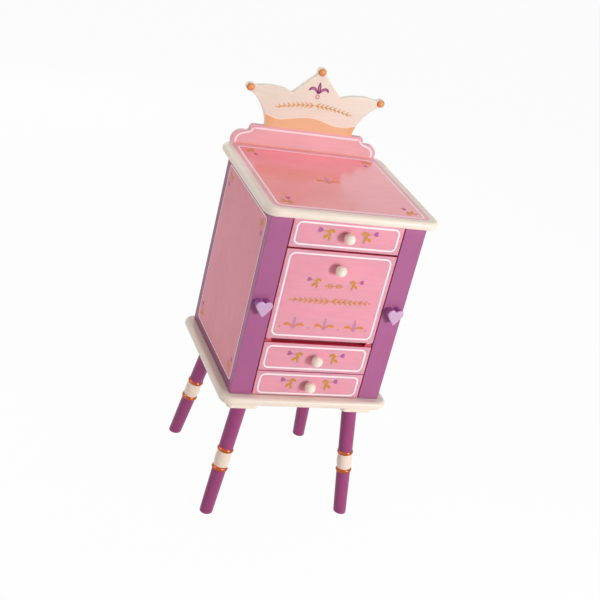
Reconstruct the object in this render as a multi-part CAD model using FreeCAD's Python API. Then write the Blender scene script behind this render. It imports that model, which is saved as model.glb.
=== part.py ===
import FreeCAD, Part
import math
import os

# A small jewelry cabinet on four splayed legs. A top drawer, a drop-front door and two
# lower drawers fill the front between two stiles. Each stile and the side panel behind it
# make one L-shaped side door, hinged at the back, with a narrow necklace compartment inside.
# A shaped board with a crown stands at the back of the top.
# The frame: X across the front (positive to the viewer's right), the front faces -Y, Z up.
# The origin is on the floor, in the middle of the whole object's box.

V = FreeCAD.Vector

# Body between the base board and the top board
body_width = 275.0
body_depth = 264.0
body_height = 334.0
base_top_height = 246.0

# Base board and top board
board_thickness = 15.0
board_overhang = 16.5
board_corner_radius = 22.0
board_edge_radius = 6.5

# Leg blocks, legs and their bolts
block_size = 58.0
block_thickness = 16.0
block_inset = 19.0
block_corner_radius = 9.0
block_edge_radius = 2.0
leg_top_radius = 13.5
leg_middle_radius = 12.9
leg_foot_radius = 11.6
leg_inset_x = 3.0
leg_inset_y = -1.9
leg_splay = 26.2
leg_ring_radius = 14.6
leg_ring_height = 7.6
leg_bead_radius = 13.8
leg_bead_length = 28.2
leg_bead_height = 105.0
leg_neck_radius = 12.4
leg_foot_rounding = 2.5
bolt_radius = 3.5
bolt_depth_in_leg = 32.0
bolt_depth_in_base = 9.0

# Stiles, side panels and inner boards
stile_width = 38.0
stile_thickness = 12.0
stile_edge_radius = 1.2
side_panel_thickness = 9.5
wall_thickness = 8.0
wall_setback = 0.6
back_panel_thickness = 6.0
back_panel_gap = 0.7
side_door_gap = 0.8

# Drawer fronts, door and shelves, from the base board upwards
front_thickness = 12.0
front_edge_radius = 1.0
front_side_gap = 1.6
drawer_3_gap = 1.2
drawer_3_height = 46.4
drawer_2_gap = 1.2
drawer_2_height = 54.0
compartment_shelf_gap = 0.8
compartment_shelf_thickness = 4.0
compartment_shelf_setback = 1.7
compartment_shelf_tab = 12.0
door_bottom_gap = 3.2
door_top_gap = 3.0
drawer_1_height = 53.0
drawer_1_gap = 1.4
upper_shelf_thickness = 6.0

# Drawer boxes
drawer_side_thickness = 6.0
drawer_back_clearance = 20.0
drawer_box_side_gap = 2.0
drawer_bottom_thickness = 3.0
drawer_bottom_lift = 4.0
drawer_groove_depth = 3.0
drawer_running_gap = 0.4
drawer_1_box_height = 42.0
drawer_2_box_height = 42.0
drawer_3_box_height = 36.0
runner_height = 5.0
batten_height = 9.0

# Ball knobs and their screws
knob_radius = 9.5
knob_reach = 20.5
knob_base_radius = 5.5
knob_base_thickness = 1.5
knob_neck_radius = 4.2
knob_screw_radius = 2.0
knob_screw_depth = 11.0
knob_screw_head_radius = 4.0
knob_screw_head_height = 2.2
door_knob_drop = 29.0

# Heart knobs
heart_width = 29.0
heart_height = 28.0
heart_thickness = 15.0
heart_edge_radius = 2.5
heart_lobe_radius = 7.9
heart_side_angle = -32.0
heart_point_radius = 3.0
heart_point_allowance = 1.4
heart_cleft_radius = 1.5
heart_center_height = 170.0
heart_peg_radius = 4.0
heart_peg_length = 8.0

# Gallery board with the crown, and its buttons
gallery_thickness = 9.5
gallery_back_inset = 0.4
gallery_half_width = 138.3
gallery_height = 37.0
step_hollow_radius = 6.0
step_round_radius = 6.5
shoulder_height = gallery_height - step_hollow_radius - step_round_radius
shoulder_radius = 18.0
shoulder_flat = 6.0
gallery_edge_radius = 1.2
crown_base_half_width = 82.3
crown_side_middle = (94.3, 69.2)
crown_side_tip_x = 123.5
crown_side_tip_height = 103.8
crown_tip_radius = 7.7
crown_tip_start = -102.0
crown_tip_end = 118.0
crown_lobe_start_x = 114.2
crown_lobe_start_height = 107.5
crown_lobe_crest_x = 85.0
crown_lobe_height = 111.0
crown_valley_x = 45.6
crown_valley_height = 103.6
crown_peak_side_middle = (27.0, 122.3)
crown_middle_tip_height = 145.9
crown_middle_start = -30.0
crown_notch_radius = 1.6
button_radius = 6.9
button_height = 4.6
button_rim = 1.2

# Side door hinges
hinge_height = 40.0
hinge_margin = 32.0
hinge_plate = 1.2
hinge_barrel_radius = 2.2
hinge_pin_radius = 1.2
hinge_fixed_leaf_width = 16.0
hinge_door_leaf_width = 6.8

# Drop door hinges
flap_hinge_width = 7.0
flap_hinge_inset = 3.0
flap_hinge_plate = 0.8
flap_hinge_leaf_depth = 6.4
flap_barrel_radius = 1.4
flap_pin_radius = 0.7
flap_stop_gap = 0.1

# Clearances shared by the hinges and pins
pin_clearance = 0.05
hinge_side_gap = 0.3
screw_clearance = 0.1

# Catches and strike plates
catch_depth = 9.0
catch_width = 10.0
catch_length = 20.0
catch_drop = 8.0
strike_thickness = 1.0
strike_drop = 1.0
catch_gap = 0.2

# Necklace hooks
hook_rail_thickness = 5.0
hook_rail_height = 16.0
hook_rail_length = 190.0
hook_rail_drop = 26.0
hook_count = 4
hook_wire_radius = 1.1
hook_reach = 11.0
hook_rise = 8.0
hook_bend_radius = 2.5
hook_root_depth = 4.0

# Wood screws
screw_radius = 1.75
screw_head_radius = 3.6
screw_head_depth = 2.4
base_screw_length = 40.0
batten_screw_length = 18.0
gallery_screw_length = 40.0
screw_end_margin = 45.0
gallery_screw_spacing = 80.0
gallery_screw_inset = 4.0
gallery_screw_sink = 1.5

# How near two coordinates in mm are when edges are picked by their place
same_place = 0.01
same_notch = 0.2

# Places worked out from the sizes above
half_width = body_width / 2
front_y = -(body_depth + board_overhang - knob_reach) / 2
back_y = front_y + body_depth
body_top = base_top_height + body_height
top_surface = body_top + board_thickness
inner_half = half_width - stile_width
panel_inner_x = half_width - side_panel_thickness
wall_outer_x = inner_half + wall_thickness
wall_front_y = front_y + stile_thickness + wall_setback
inner_back_y = back_y - back_panel_thickness
front_half = inner_half - front_side_gap
box_half = inner_half - drawer_box_side_gap
box_front_y = front_y + front_thickness
box_back_y = inner_back_y - drawer_back_clearance
block_bottom = base_top_height - board_thickness - block_thickness
block_center_x = half_width + board_overhang - block_inset - block_size / 2
block_front_y = front_y - board_overhang + block_inset + block_size / 2
block_back_y = back_y + board_overhang - block_inset - block_size / 2

drawer_3_bottom = base_top_height + drawer_3_gap
drawer_2_bottom = drawer_3_bottom + drawer_3_height + drawer_2_gap
compartment_shelf_bottom = drawer_2_bottom + drawer_2_height + compartment_shelf_gap
compartment_shelf_top = compartment_shelf_bottom + compartment_shelf_thickness
door_bottom = compartment_shelf_top + door_bottom_gap
drawer_1_bottom = body_top - drawer_1_gap - drawer_1_height
door_top = drawer_1_bottom - door_top_gap
upper_shelf_top = drawer_1_bottom - drawer_running_gap
upper_shelf_bottom = upper_shelf_top - upper_shelf_thickness
drawer_1_box_bottom = upper_shelf_top + drawer_running_gap
drawer_2_box_bottom = drawer_2_bottom + drawer_running_gap
drawer_3_box_bottom = base_top_height + drawer_running_gap
door_knob_height = door_top - door_knob_drop


def box(x0, x1, y0, y1, z0, z1):
    """A board between two corners."""
    low = V(min(x0, x1), min(y0, y1), min(z0, z1))
    return Part.makeBox(abs(x1 - x0), abs(y1 - y0), abs(z1 - z0), low)


def rod(radius, start, end):
    """A round bar from one point to another."""
    run = end - start
    return Part.makeCylinder(radius, run.Length, start, run)


def edges_where(shape, test):
    """The edges whose middle point passes a test."""
    return [edge for edge in shape.Edges if test(edge.CenterOfMass)]


def close_to(value, target):
    return abs(value - target) < same_place


def arc(start, middle, end):
    """An arc edge through three points."""
    return Part.Arc(start, middle, end).toShape()


def line(start, end):
    return Part.LineSegment(start, end).toShape()


def tangent_arc(start, heading, end):
    """An arc that leaves a point in a given direction and ends at another point."""
    chord = end - start
    along = V(chord)
    along.normalize()
    sideways = heading - along * heading.dot(along)
    sideways.normalize()
    rise = chord.Length / 2 * math.tan(math.acos(heading.dot(along)) / 2)
    return arc(start, (start + end) / 2 + sideways * rise, end)


def mirrored(shape):
    """The same shape on the other side of the cabinet's middle plane."""
    return shape.mirror(V(0, 0, 0), V(1, 0, 0))


def revolved(edges, origin, axis):
    """A solid turned about an axis from the edges of half its section."""
    face = Part.Face(Part.Wire(edges))
    return face.revolve(origin, axis, 360)


def placed_along(shape, origin, direction):
    """Moves a solid that was turned about +Z so that its axis follows a direction."""
    turned = shape.copy()
    turned.Placement = FreeCAD.Placement(origin, FreeCAD.Rotation(V(0, 0, 1), direction))
    return turned


def rounded_board(x_half, y0, y1, z0, z1, corner_radius, edge_radius):
    """A flat board with round corners and softened edges all round."""
    board = box(-x_half, x_half, y0, y1, z0, z1)
    middle_z = (z0 + z1) / 2
    uprights = edges_where(board, lambda p: close_to(p.z, middle_z))
    board = board.makeFillet(corner_radius, uprights)
    rims = edges_where(board, lambda p: close_to(p.z, z0) or close_to(p.z, z1))
    return board.makeFillet(edge_radius, rims)


def base_board():
    bottom = base_top_height - board_thickness
    board = rounded_board(half_width + board_overhang, front_y - board_overhang,
                          back_y + board_overhang, bottom, base_top_height,
                          board_corner_radius, board_edge_radius)
    for foot in leg_lines():
        board = board.cut(leg_bolt(foot, screw_clearance))
    for screw in base_screw_lines():
        board = board.cut(screw_hole(screw, base_screw_length))
    return board


def top_board():
    board = rounded_board(half_width + board_overhang, front_y - board_overhang,
                          back_y + board_overhang, body_top, top_surface,
                          board_corner_radius, board_edge_radius)
    for screw in batten_screw_lines():
        board = board.cut(screw_hole(screw, batten_screw_length))
    for screw in gallery_screw_lines():
        board = board.cut(screw_hole(screw, gallery_screw_length))
    return board


def leg_lines():
    """Top point and foot point of each leg's axis, front left, front right, back left, back right."""
    lines = []
    for y, y_way in ((block_front_y, -1), (block_back_y, 1)):
        for side in (-1, 1):
            top = V(side * (block_center_x - leg_inset_x), y - y_way * leg_inset_y, block_bottom)
            foot = V(top.x + side * leg_splay, top.y + y_way * leg_splay, 0)
            lines.append((top, foot))
    return lines


def leg_blocks():
    """Four square blocks under the base board, one over each leg."""
    blocks = []
    half = block_size / 2
    for foot in leg_lines():
        x = math.copysign(block_center_x, foot[0].x)
        y = block_front_y if foot[0].y < 0 else block_back_y
        top = block_bottom + block_thickness
        block = box(x - half, x + half, y - half, y + half, block_bottom, top)
        middle_z = (block_bottom + top) / 2
        block = block.makeFillet(block_corner_radius, edges_where(block, lambda p: close_to(p.z, middle_z)))
        rim = edges_where(block, lambda p: close_to(p.z, block_bottom))
        block = block.makeFillet(block_edge_radius, rim)
        blocks.append(block.cut(leg_bolt(foot, screw_clearance)))
    return Part.makeCompound(blocks)


def leg_bolt(foot, clearance):
    """A hanger bolt on the leg's axis, from inside the leg into the base board."""
    top_point, foot_point = foot
    direction = top_point - foot_point
    direction.normalize()
    slant = direction.z
    reach = (block_thickness + bolt_depth_in_base) / slant
    start = top_point - direction * bolt_depth_in_leg
    end = top_point + direction * reach
    return rod(bolt_radius + clearance, start, end)


def leg(foot):
    """A turned leg: a tapered shaft with a barrel bead between two rings, cut level at both ends."""
    top_point, foot_point = foot
    direction = top_point - foot_point
    length = direction.Length
    direction.normalize()
    spare = leg_top_radius
    slant = direction.z
    bead_middle = leg_bead_height / slant
    lower_ring = bead_middle - leg_bead_length / 2 - leg_ring_height / 2
    upper_ring = bead_middle + leg_bead_length / 2 + leg_ring_height / 2
    half_ring = leg_ring_height / 2

    def shaft_radius(along):
        """The shaft swells from the foot to the bead, then a little more up to the top."""
        if along < bead_middle:
            share = along / bead_middle
            return leg_foot_radius + (leg_middle_radius - leg_foot_radius) * share
        share = (along - bead_middle) / (length - bead_middle)
        return leg_middle_radius + (leg_top_radius - leg_middle_radius) * share

    def point(radius, along):
        return V(radius, 0, along)

    start = point(shaft_radius(-spare), -spare)
    below = point(shaft_radius(lower_ring - half_ring), lower_ring - half_ring)
    neck_low = point(leg_neck_radius, lower_ring + half_ring)
    neck_high = point(leg_neck_radius, upper_ring - half_ring)
    above = point(shaft_radius(upper_ring + half_ring), upper_ring + half_ring)
    end = point(shaft_radius(length + spare), length + spare)
    edges = [
        line(point(0, -spare), start),
        line(start, below),
        arc(below, point(leg_ring_radius, lower_ring), neck_low),
        arc(neck_low, point(leg_bead_radius, bead_middle), neck_high),
        arc(neck_high, point(leg_ring_radius, upper_ring), above),
        line(above, end),
        line(end, point(0, length + spare)),
        line(point(0, length + spare), point(0, -spare)),
    ]
    turned = revolved(edges, V(0, 0, 0), V(0, 0, 1))
    solid = placed_along(turned, foot_point, direction)
    room = leg_splay + 2 * leg_ring_radius
    slab = box(foot_point.x - room - leg_splay, foot_point.x + room + leg_splay,
               foot_point.y - room - leg_splay, foot_point.y + room + leg_splay, 0, block_bottom)
    solid = solid.common(slab)
    solid = solid.makeFillet(leg_foot_rounding, edges_where(solid, lambda p: close_to(p.z, 0)))
    return solid.cut(leg_bolt(foot, screw_clearance))


def wood_screw(screw, length, clearance):
    """A countersunk screw: head flush at the start point, shank along the direction."""
    start, direction = screw
    head = Part.makeCone(screw_head_radius + clearance, screw_radius + clearance,
                         screw_head_depth, start, direction)
    shank = rod(screw_radius + clearance, start, start + direction * length)
    return head.fuse(shank).removeSplitter()


def screw_hole(screw, length):
    """The hole for a countersunk screw, open below its head."""
    start, direction = screw
    recess = rod(screw_head_radius + screw_clearance, start - direction * screw_head_radius, start)
    return wood_screw(screw, length, screw_clearance).fuse(recess)


def base_screw_lines():
    """Screws from under the base board up into the walls and the back panel."""
    bottom = base_top_height - board_thickness
    lines = []
    wall_x = inner_half + wall_thickness / 2
    for side in (-1, 1):
        for y in (wall_front_y + screw_end_margin, inner_back_y - screw_end_margin):
            lines.append((V(side * wall_x, y, bottom), V(0, 0, 1)))
    return lines


def batten_screw_lines():
    """Screws up through the battens into the top board."""
    bottom = body_top - batten_height
    x = inner_half - wall_thickness / 2
    lines = []
    for side in (-1, 1):
        for y in (wall_front_y + screw_end_margin, inner_back_y - screw_end_margin):
            lines.append((V(side * x, y, bottom), V(0, 0, 1)))
    return lines


def gallery_front_y():
    return back_y + board_overhang - gallery_back_inset - gallery_thickness


def gallery_screw_lines():
    """Screws from under the top board's overhang up into the gallery board."""
    y = gallery_front_y() + gallery_screw_inset
    z = body_top + gallery_screw_sink
    lines = []
    for step in (-1, 0, 1):
        lines.append((V(step * gallery_screw_spacing, y, z), V(0, 0, 1)))
    return lines


def inner_wall(side):
    wall = box(side * inner_half, side * wall_outer_x, wall_front_y, inner_back_y,
               base_top_height, body_top)
    for screw in base_screw_lines():
        wall = wall.cut(screw_hole(screw, base_screw_length))
    return wall


def back_panel():
    half = panel_inner_x - back_panel_gap
    return box(-half, half, inner_back_y, back_y, base_top_height, body_top)


def shelf(z0, z1, y0):
    return box(-inner_half, inner_half, y0, inner_back_y, z0, z1)


def compartment_shelf():
    """The floor behind the drop door, with a tab at each end that reaches forward under the door."""
    board = shelf(compartment_shelf_bottom, compartment_shelf_top, wall_front_y)
    for side in (-1, 1):
        tab = box(side * front_half, side * (front_half - compartment_shelf_tab),
                  front_y + compartment_shelf_setback, wall_front_y,
                  compartment_shelf_bottom, compartment_shelf_top)
        board = board.fuse(tab)
    return board.removeSplitter()


def drawer_runners():
    """Two strips that carry the middle drawer's sides."""
    top = drawer_2_box_bottom - drawer_running_gap
    strips = []
    for side in (-1, 1):
        strips.append(box(side * inner_half, side * (inner_half - wall_thickness), wall_front_y,
                          inner_back_y, top - runner_height, top))
    return Part.makeCompound(strips)


def top_battens():
    strips = []
    for side in (-1, 1):
        strip = box(side * inner_half, side * (inner_half - wall_thickness), wall_front_y,
                    inner_back_y, body_top - batten_height, body_top)
        for screw in batten_screw_lines():
            strip = strip.cut(screw_hole(screw, batten_screw_length))
        strips.append(strip)
    return Part.makeCompound(strips)


def carcass_screws():
    screws = [wood_screw(screw, base_screw_length, 0) for screw in base_screw_lines()]
    screws += [wood_screw(screw, batten_screw_length, 0) for screw in batten_screw_lines()]
    return Part.makeCompound(screws)


def on_disc(center, radius, degrees):
    """A point on a circle, as X and height."""
    angle = math.radians(degrees)
    return center[0] + radius * math.cos(angle), center[1] + radius * math.sin(angle)


def crown_notches():
    """The five inside corners of the crown's right half, as X and height over the top."""
    tip = (crown_side_tip_x, crown_side_tip_height)
    middle_tip = (0, crown_middle_tip_height)
    return {
        "base": (crown_base_half_width, gallery_height),
        "tip": on_disc(tip, crown_tip_radius, crown_tip_start),
        "lobe": (crown_lobe_start_x, crown_lobe_start_height),
        "valley": (crown_valley_x, crown_valley_height),
        "middle": on_disc(middle_tip, crown_tip_radius, crown_middle_start),
    }


def crown_outline(y):
    """Right half of the gallery and crown outline, from the foot up to the middle tip."""
    tip = (crown_side_tip_x, crown_side_tip_height)
    middle_tip = (0, crown_middle_tip_height)
    shoulder_x = gallery_half_width - shoulder_radius
    shoulder_low = shoulder_height - shoulder_radius
    rise_x = shoulder_x - shoulder_flat
    rise_z = shoulder_height + step_hollow_radius
    corner_x = rise_x - step_hollow_radius - step_round_radius
    notch = crown_notches()

    def at(place):
        return V(place[0], y, top_surface + place[1])

    def disc_arc(center, radius, start, end):
        middle = on_disc(center, radius, (start + end) / 2)
        return arc(at(on_disc(center, radius, start)), at(middle), at(on_disc(center, radius, end)))

    return [
        line(at((gallery_half_width, 0)), at((gallery_half_width, shoulder_low))),
        disc_arc((shoulder_x, shoulder_low), shoulder_radius, 0, 90),
        line(at((shoulder_x, shoulder_height)), at((rise_x, shoulder_height))),
        disc_arc((rise_x, rise_z), step_hollow_radius, 270, 180),
        disc_arc((corner_x, rise_z), step_round_radius, 0, 90),
        line(at((corner_x, gallery_height)), at(notch["base"])),
        arc(at(notch["base"]), at(crown_side_middle), at(notch["tip"])),
        disc_arc(tip, crown_tip_radius, crown_tip_start, crown_tip_end),
        line(at(on_disc(tip, crown_tip_radius, crown_tip_end)), at(notch["lobe"])),
        arc(at(notch["lobe"]), at((crown_lobe_crest_x, crown_lobe_height)), at(notch["valley"])),
        arc(at(notch["valley"]), at(crown_peak_side_middle), at(notch["middle"])),
        disc_arc(middle_tip, crown_tip_radius, crown_middle_start, 90),
    ]


def gallery_crown():
    """One shaped board: a low gallery with a three-pointed crown standing in its middle."""
    y = gallery_front_y()
    back = y + gallery_thickness
    middle = (y + back) / 2
    right = crown_outline(y)
    left = [mirrored(edge) for edge in right]
    foot = line(V(-gallery_half_width, y, top_surface), V(gallery_half_width, y, top_surface))
    outline = Part.Wire(Part.__sortEdges__(right + left + [foot]))
    board = Part.Face(outline).extrude(V(0, gallery_thickness, 0))
    places = list(crown_notches().values())

    def in_notch(p):
        near = [abs(abs(p.x) - x) + abs(p.z - top_surface - z) < same_notch for x, z in places]
        return close_to(p.y, middle) and any(near)

    def on_rim(p):
        return (close_to(p.y, y) or close_to(p.y, back)) and p.z > top_surface + gallery_edge_radius

    board = board.makeFillet(crown_notch_radius, edges_where(board, in_notch))
    board = board.makeFillet(gallery_edge_radius, edges_where(board, on_rim))
    for screw in gallery_screw_lines():
        board = board.cut(screw_hole(screw, gallery_screw_length))
    return board


def gallery_screws():
    return Part.makeCompound([wood_screw(screw, gallery_screw_length, 0) for screw in gallery_screw_lines()])


def crown_buttons():
    """Three domed buttons, one on each tip of the crown."""
    y = gallery_front_y()
    places = [(-crown_side_tip_x, crown_side_tip_height), (0, crown_middle_tip_height),
              (crown_side_tip_x, crown_side_tip_height)]
    rise = button_height - button_rim
    dome_radius = (button_radius ** 2 + rise ** 2) / (2 * rise)
    half_angle = math.asin(button_radius / dome_radius) / 2
    buttons = []
    for x, height in places:
        center = V(x, y, top_surface + height)
        rim = center + V(button_radius, 0, 0)
        rim_front = rim + V(0, -button_rim, 0)
        crest = center + V(0, -button_height, 0)
        sunk = button_height - dome_radius
        shoulder = center + V(dome_radius * math.sin(half_angle),
                              -sunk - dome_radius * math.cos(half_angle), 0)
        edges = [
            line(center, rim),
            line(rim, rim_front),
            arc(rim_front, shoulder, crest),
            line(crest, center),
        ]
        buttons.append(revolved(edges, center, V(0, 1, 0)))
    return Part.makeCompound(buttons)


def knob_places():
    """Height of each ball knob, from the lowest drawer up."""
    return {
        "drawer_3": drawer_3_bottom + drawer_3_height / 2,
        "drawer_2": drawer_2_bottom + drawer_2_height / 2,
        "drop_door": door_knob_height,
        "drawer_1": drawer_1_bottom + drawer_1_height / 2,
    }


def ball_knob(height):
    """A turned ball on a short neck and foot, bored for its screw."""
    face = V(0, front_y, height)
    ball_middle = knob_reach - knob_radius
    neck_meets = ball_middle - math.sqrt(knob_radius ** 2 - knob_neck_radius ** 2)

    def point(radius, out):
        return face + V(radius, -out, 0)

    def on_ball(degrees):
        angle = math.radians(degrees)
        return point(knob_radius * math.cos(angle), ball_middle + knob_radius * math.sin(angle))

    edges = [
        line(point(0, 0), point(knob_base_radius, 0)),
        line(point(knob_base_radius, 0), point(knob_base_radius, knob_base_thickness)),
        line(point(knob_base_radius, knob_base_thickness), point(knob_neck_radius, knob_base_thickness)),
        line(point(knob_neck_radius, knob_base_thickness), point(knob_neck_radius, neck_meets)),
        arc(point(knob_neck_radius, neck_meets), on_ball(0), point(0, knob_reach)),
        line(point(0, knob_reach), point(0, 0)),
    ]
    knob = revolved(edges, face, V(0, 1, 0))
    return knob.cut(rod(knob_screw_radius, face, face + V(0, -knob_screw_depth, 0)))


def knob_screw(height):
    """A machine screw from inside, with a pan head behind the front."""
    inside = V(0, front_y + front_thickness, height)
    tip = V(0, front_y - knob_screw_depth, height)
    shank = rod(knob_screw_radius, inside, tip)
    head = rod(knob_screw_head_radius, inside, inside + V(0, knob_screw_head_height, 0))
    rim = edges_where(head, lambda p: close_to(p.y, inside.y + knob_screw_head_height))
    head = head.makeFillet(knob_screw_head_height / 2, rim)
    return shank.fuse(head).removeSplitter()


def front_board(z0, z1, knob_height):
    """A drawer or door front with a softened face edge and a hole for the knob's screw."""
    board = box(-front_half, front_half, front_y, front_y + front_thickness, z0, z1)
    board = board.makeFillet(front_edge_radius, edges_where(board, lambda p: close_to(p.y, front_y)))
    back = V(0, front_y + front_thickness, knob_height)
    return board.cut(rod(knob_screw_radius + screw_clearance, back, back + V(0, -front_thickness, 0)))


def drawer_bottom(box_bottom):
    """The thin bottom panel, as wide and deep as its grooves."""
    half = box_half - drawer_side_thickness + drawer_groove_depth
    z0 = box_bottom + drawer_bottom_lift
    return box(-half, half, box_front_y - drawer_groove_depth,
               box_back_y - drawer_side_thickness + drawer_groove_depth,
               z0, z0 + drawer_bottom_thickness)


def drawer_sides(box_bottom, box_height):
    panel = drawer_bottom(box_bottom)
    sides = []
    for side in (-1, 1):
        board = box(side * box_half, side * (box_half - drawer_side_thickness), box_front_y,
                    box_back_y, box_bottom, box_bottom + box_height)
        sides.append(board.cut(panel))
    return Part.makeCompound(sides)


def drawer_back(box_bottom, box_height):
    half = box_half - drawer_side_thickness
    board = box(-half, half, box_back_y - drawer_side_thickness, box_back_y,
                box_bottom, box_bottom + box_height)
    return board.cut(drawer_bottom(box_bottom))


def drawer(name, bottom, height, box_bottom, box_height):
    """All the pieces of one drawer, by node name."""
    knob_height = knob_places()[name]
    front = front_board(bottom, bottom + height, knob_height)
    return {
        name + "_front": front.cut(drawer_bottom(box_bottom)),
        name + "_sides": drawer_sides(box_bottom, box_height),
        name + "_back": drawer_back(box_bottom, box_height),
        name + "_bottom": drawer_bottom(box_bottom),
        name + "_knob": ball_knob(knob_height),
        name + "_screw": knob_screw(knob_height),
    }


def flap_pivot():
    """The drop door's hinge axis, in the gap under the door.

    It lies so far back that the open door's lower edge butts against the front of the shelf.
    """
    z = (door_bottom + compartment_shelf_top) / 2
    y = front_y + compartment_shelf_setback + (door_bottom - z) - flap_stop_gap
    return y, z


def flap_hinge_starts():
    """Lower X end of each of the drop door's two hinges."""
    outer = front_half - flap_hinge_inset
    return (-outer, outer - flap_hinge_width)


def flap_leaf(on_door):
    """Leaves of the drop door's hinges: a plate and one knuckle each."""
    y, z = flap_pivot()
    knuckle = (flap_hinge_width - hinge_side_gap) / 2
    leaves = []
    for start in flap_hinge_starts():
        toward_middle = start < 0
        first_half = toward_middle != on_door
        x0 = start if first_half else start + flap_hinge_width - knuckle
        barrel = rod(flap_barrel_radius, V(x0, y, z), V(x0 + knuckle, y, z))
        if on_door:
            z0 = door_bottom - flap_hinge_plate
        else:
            z0 = compartment_shelf_top
        z1 = z0 + flap_hinge_plate
        plate_front = y + flap_barrel_radius + hinge_side_gap
        plate = box(start, start + flap_hinge_width, plate_front,
                    plate_front + flap_hinge_leaf_depth, z0, z1)
        tongue = box(x0, x0 + knuckle, y, plate_front, z0, z1)
        web = box(x0, x0 + knuckle, y, y + flap_barrel_radius / 2, min(z, z0), max(z, z1))
        leaf = plate.fuse([tongue, web, barrel]).removeSplitter()
        hole = rod(flap_pin_radius + pin_clearance, V(start, y, z), V(start + flap_hinge_width, y, z))
        leaves.append(leaf.cut(hole))
    return Part.makeCompound(leaves)


def flap_pins():
    y, z = flap_pivot()
    pins = []
    for start in flap_hinge_starts():
        pins.append(rod(flap_pin_radius, V(start, y, z), V(start + flap_hinge_width, y, z)))
    return Part.makeCompound(pins)


def door_strike_plate():
    """A thin steel plate inside the drop door's top edge, for the magnet."""
    top = upper_shelf_bottom - strike_drop
    back = front_y + front_thickness
    return box(-catch_length / 2, catch_length / 2, back, back + strike_thickness, top - catch_drop, top)


def magnet_catches():
    """One catch under the upper shelf, and one on each inner wall behind a stile."""
    y0 = front_y + front_thickness + strike_thickness + catch_gap
    catches = [box(-catch_length / 2, catch_length / 2, y0, y0 + catch_depth,
                   upper_shelf_bottom - catch_drop, upper_shelf_bottom)]
    side_y0 = front_y + stile_thickness + strike_thickness + catch_gap
    z0 = base_top_height + heart_center_height - catch_length / 2
    for side in (-1, 1):
        catches.append(box(side * wall_outer_x, side * (wall_outer_x + catch_width), side_y0,
                           side_y0 + catch_depth, z0, z0 + catch_length))
    return Part.makeCompound(catches)


def side_strike_plate(side):
    y0 = front_y + stile_thickness
    z0 = base_top_height + heart_center_height - catch_length / 2
    return box(side * wall_outer_x, side * (wall_outer_x + catch_width), y0, y0 + strike_thickness,
               z0, z0 + catch_length)


def stile(side):
    """The upright board at the front of a side door, drilled for the heart knob's peg."""
    board = box(side * inner_half, side * half_width, front_y, front_y + stile_thickness,
                base_top_height + side_door_gap, body_top - side_door_gap)
    board = board.makeFillet(stile_edge_radius, edges_where(board, lambda p: close_to(p.y, front_y)))
    return board.cut(heart_peg(side))


def side_panel(side):
    return box(side * panel_inner_x, side * half_width, front_y + stile_thickness, back_y,
               base_top_height + side_door_gap, body_top - side_door_gap)


def heart_middle(side):
    return V(side * (inner_half + stile_width / 2), front_y, base_top_height + heart_center_height)


def heart_peg(side):
    middle = heart_middle(side)
    return rod(heart_peg_radius, middle, middle + V(0, heart_peg_length, 0))


def heart_knob(side):
    """A thick heart with a rounded face edge and a peg that is glued into the stile."""
    middle = heart_middle(side)
    face_y = front_y - heart_thickness
    lobe = (heart_width / 2 - heart_lobe_radius, heart_height / 2 - heart_lobe_radius)
    cleft_rise = math.sqrt(heart_lobe_radius ** 2 - lobe[0] ** 2)
    cleft_angle = math.degrees(math.atan2(cleft_rise, -lobe[0]))

    def at(place):
        return middle + V(place[0], 0, place[1])

    point = at((0, -heart_height / 2 - heart_point_allowance))
    cleft = at((0, lobe[1] + cleft_rise))
    side_start = at(on_disc(lobe, heart_lobe_radius, heart_side_angle))
    downwards = math.radians(heart_side_angle)
    heading = V(math.sin(downwards), 0, -math.cos(downwards))
    lobe_middle = on_disc(lobe, heart_lobe_radius, (heart_side_angle + cleft_angle) / 2)
    right = [
        tangent_arc(side_start, heading, point),
        arc(side_start, at(lobe_middle), cleft),
    ]
    left = [edge.mirror(middle, V(1, 0, 0)) for edge in right]
    outline = Part.Wire(Part.__sortEdges__(right + left))
    knob = Part.Face(outline).extrude(V(0, -heart_thickness, 0))

    def on_middle_line(p):
        return close_to(p.x, middle.x) and close_to(p.y, (face_y + front_y) / 2)

    def at_point(p):
        return on_middle_line(p) and p.z < middle.z

    def in_cleft(p):
        return on_middle_line(p) and p.z > middle.z

    knob = knob.makeFillet(heart_point_radius, edges_where(knob, at_point))
    knob = knob.makeFillet(heart_cleft_radius, edges_where(knob, in_cleft))
    knob = knob.makeFillet(heart_edge_radius, edges_where(knob, lambda p: close_to(p.y, face_y)))
    return knob.fuse(heart_peg(side)).removeSplitter()


def side_pivot(side):
    """The side door's hinge axis: behind the joint between side panel and back panel."""
    x = side * (panel_inner_x - back_panel_gap / 2)
    y = back_y + hinge_barrel_radius + hinge_side_gap
    return x, y


def hinge_bottoms():
    return (base_top_height + hinge_margin, body_top - hinge_margin - hinge_height)


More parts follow.
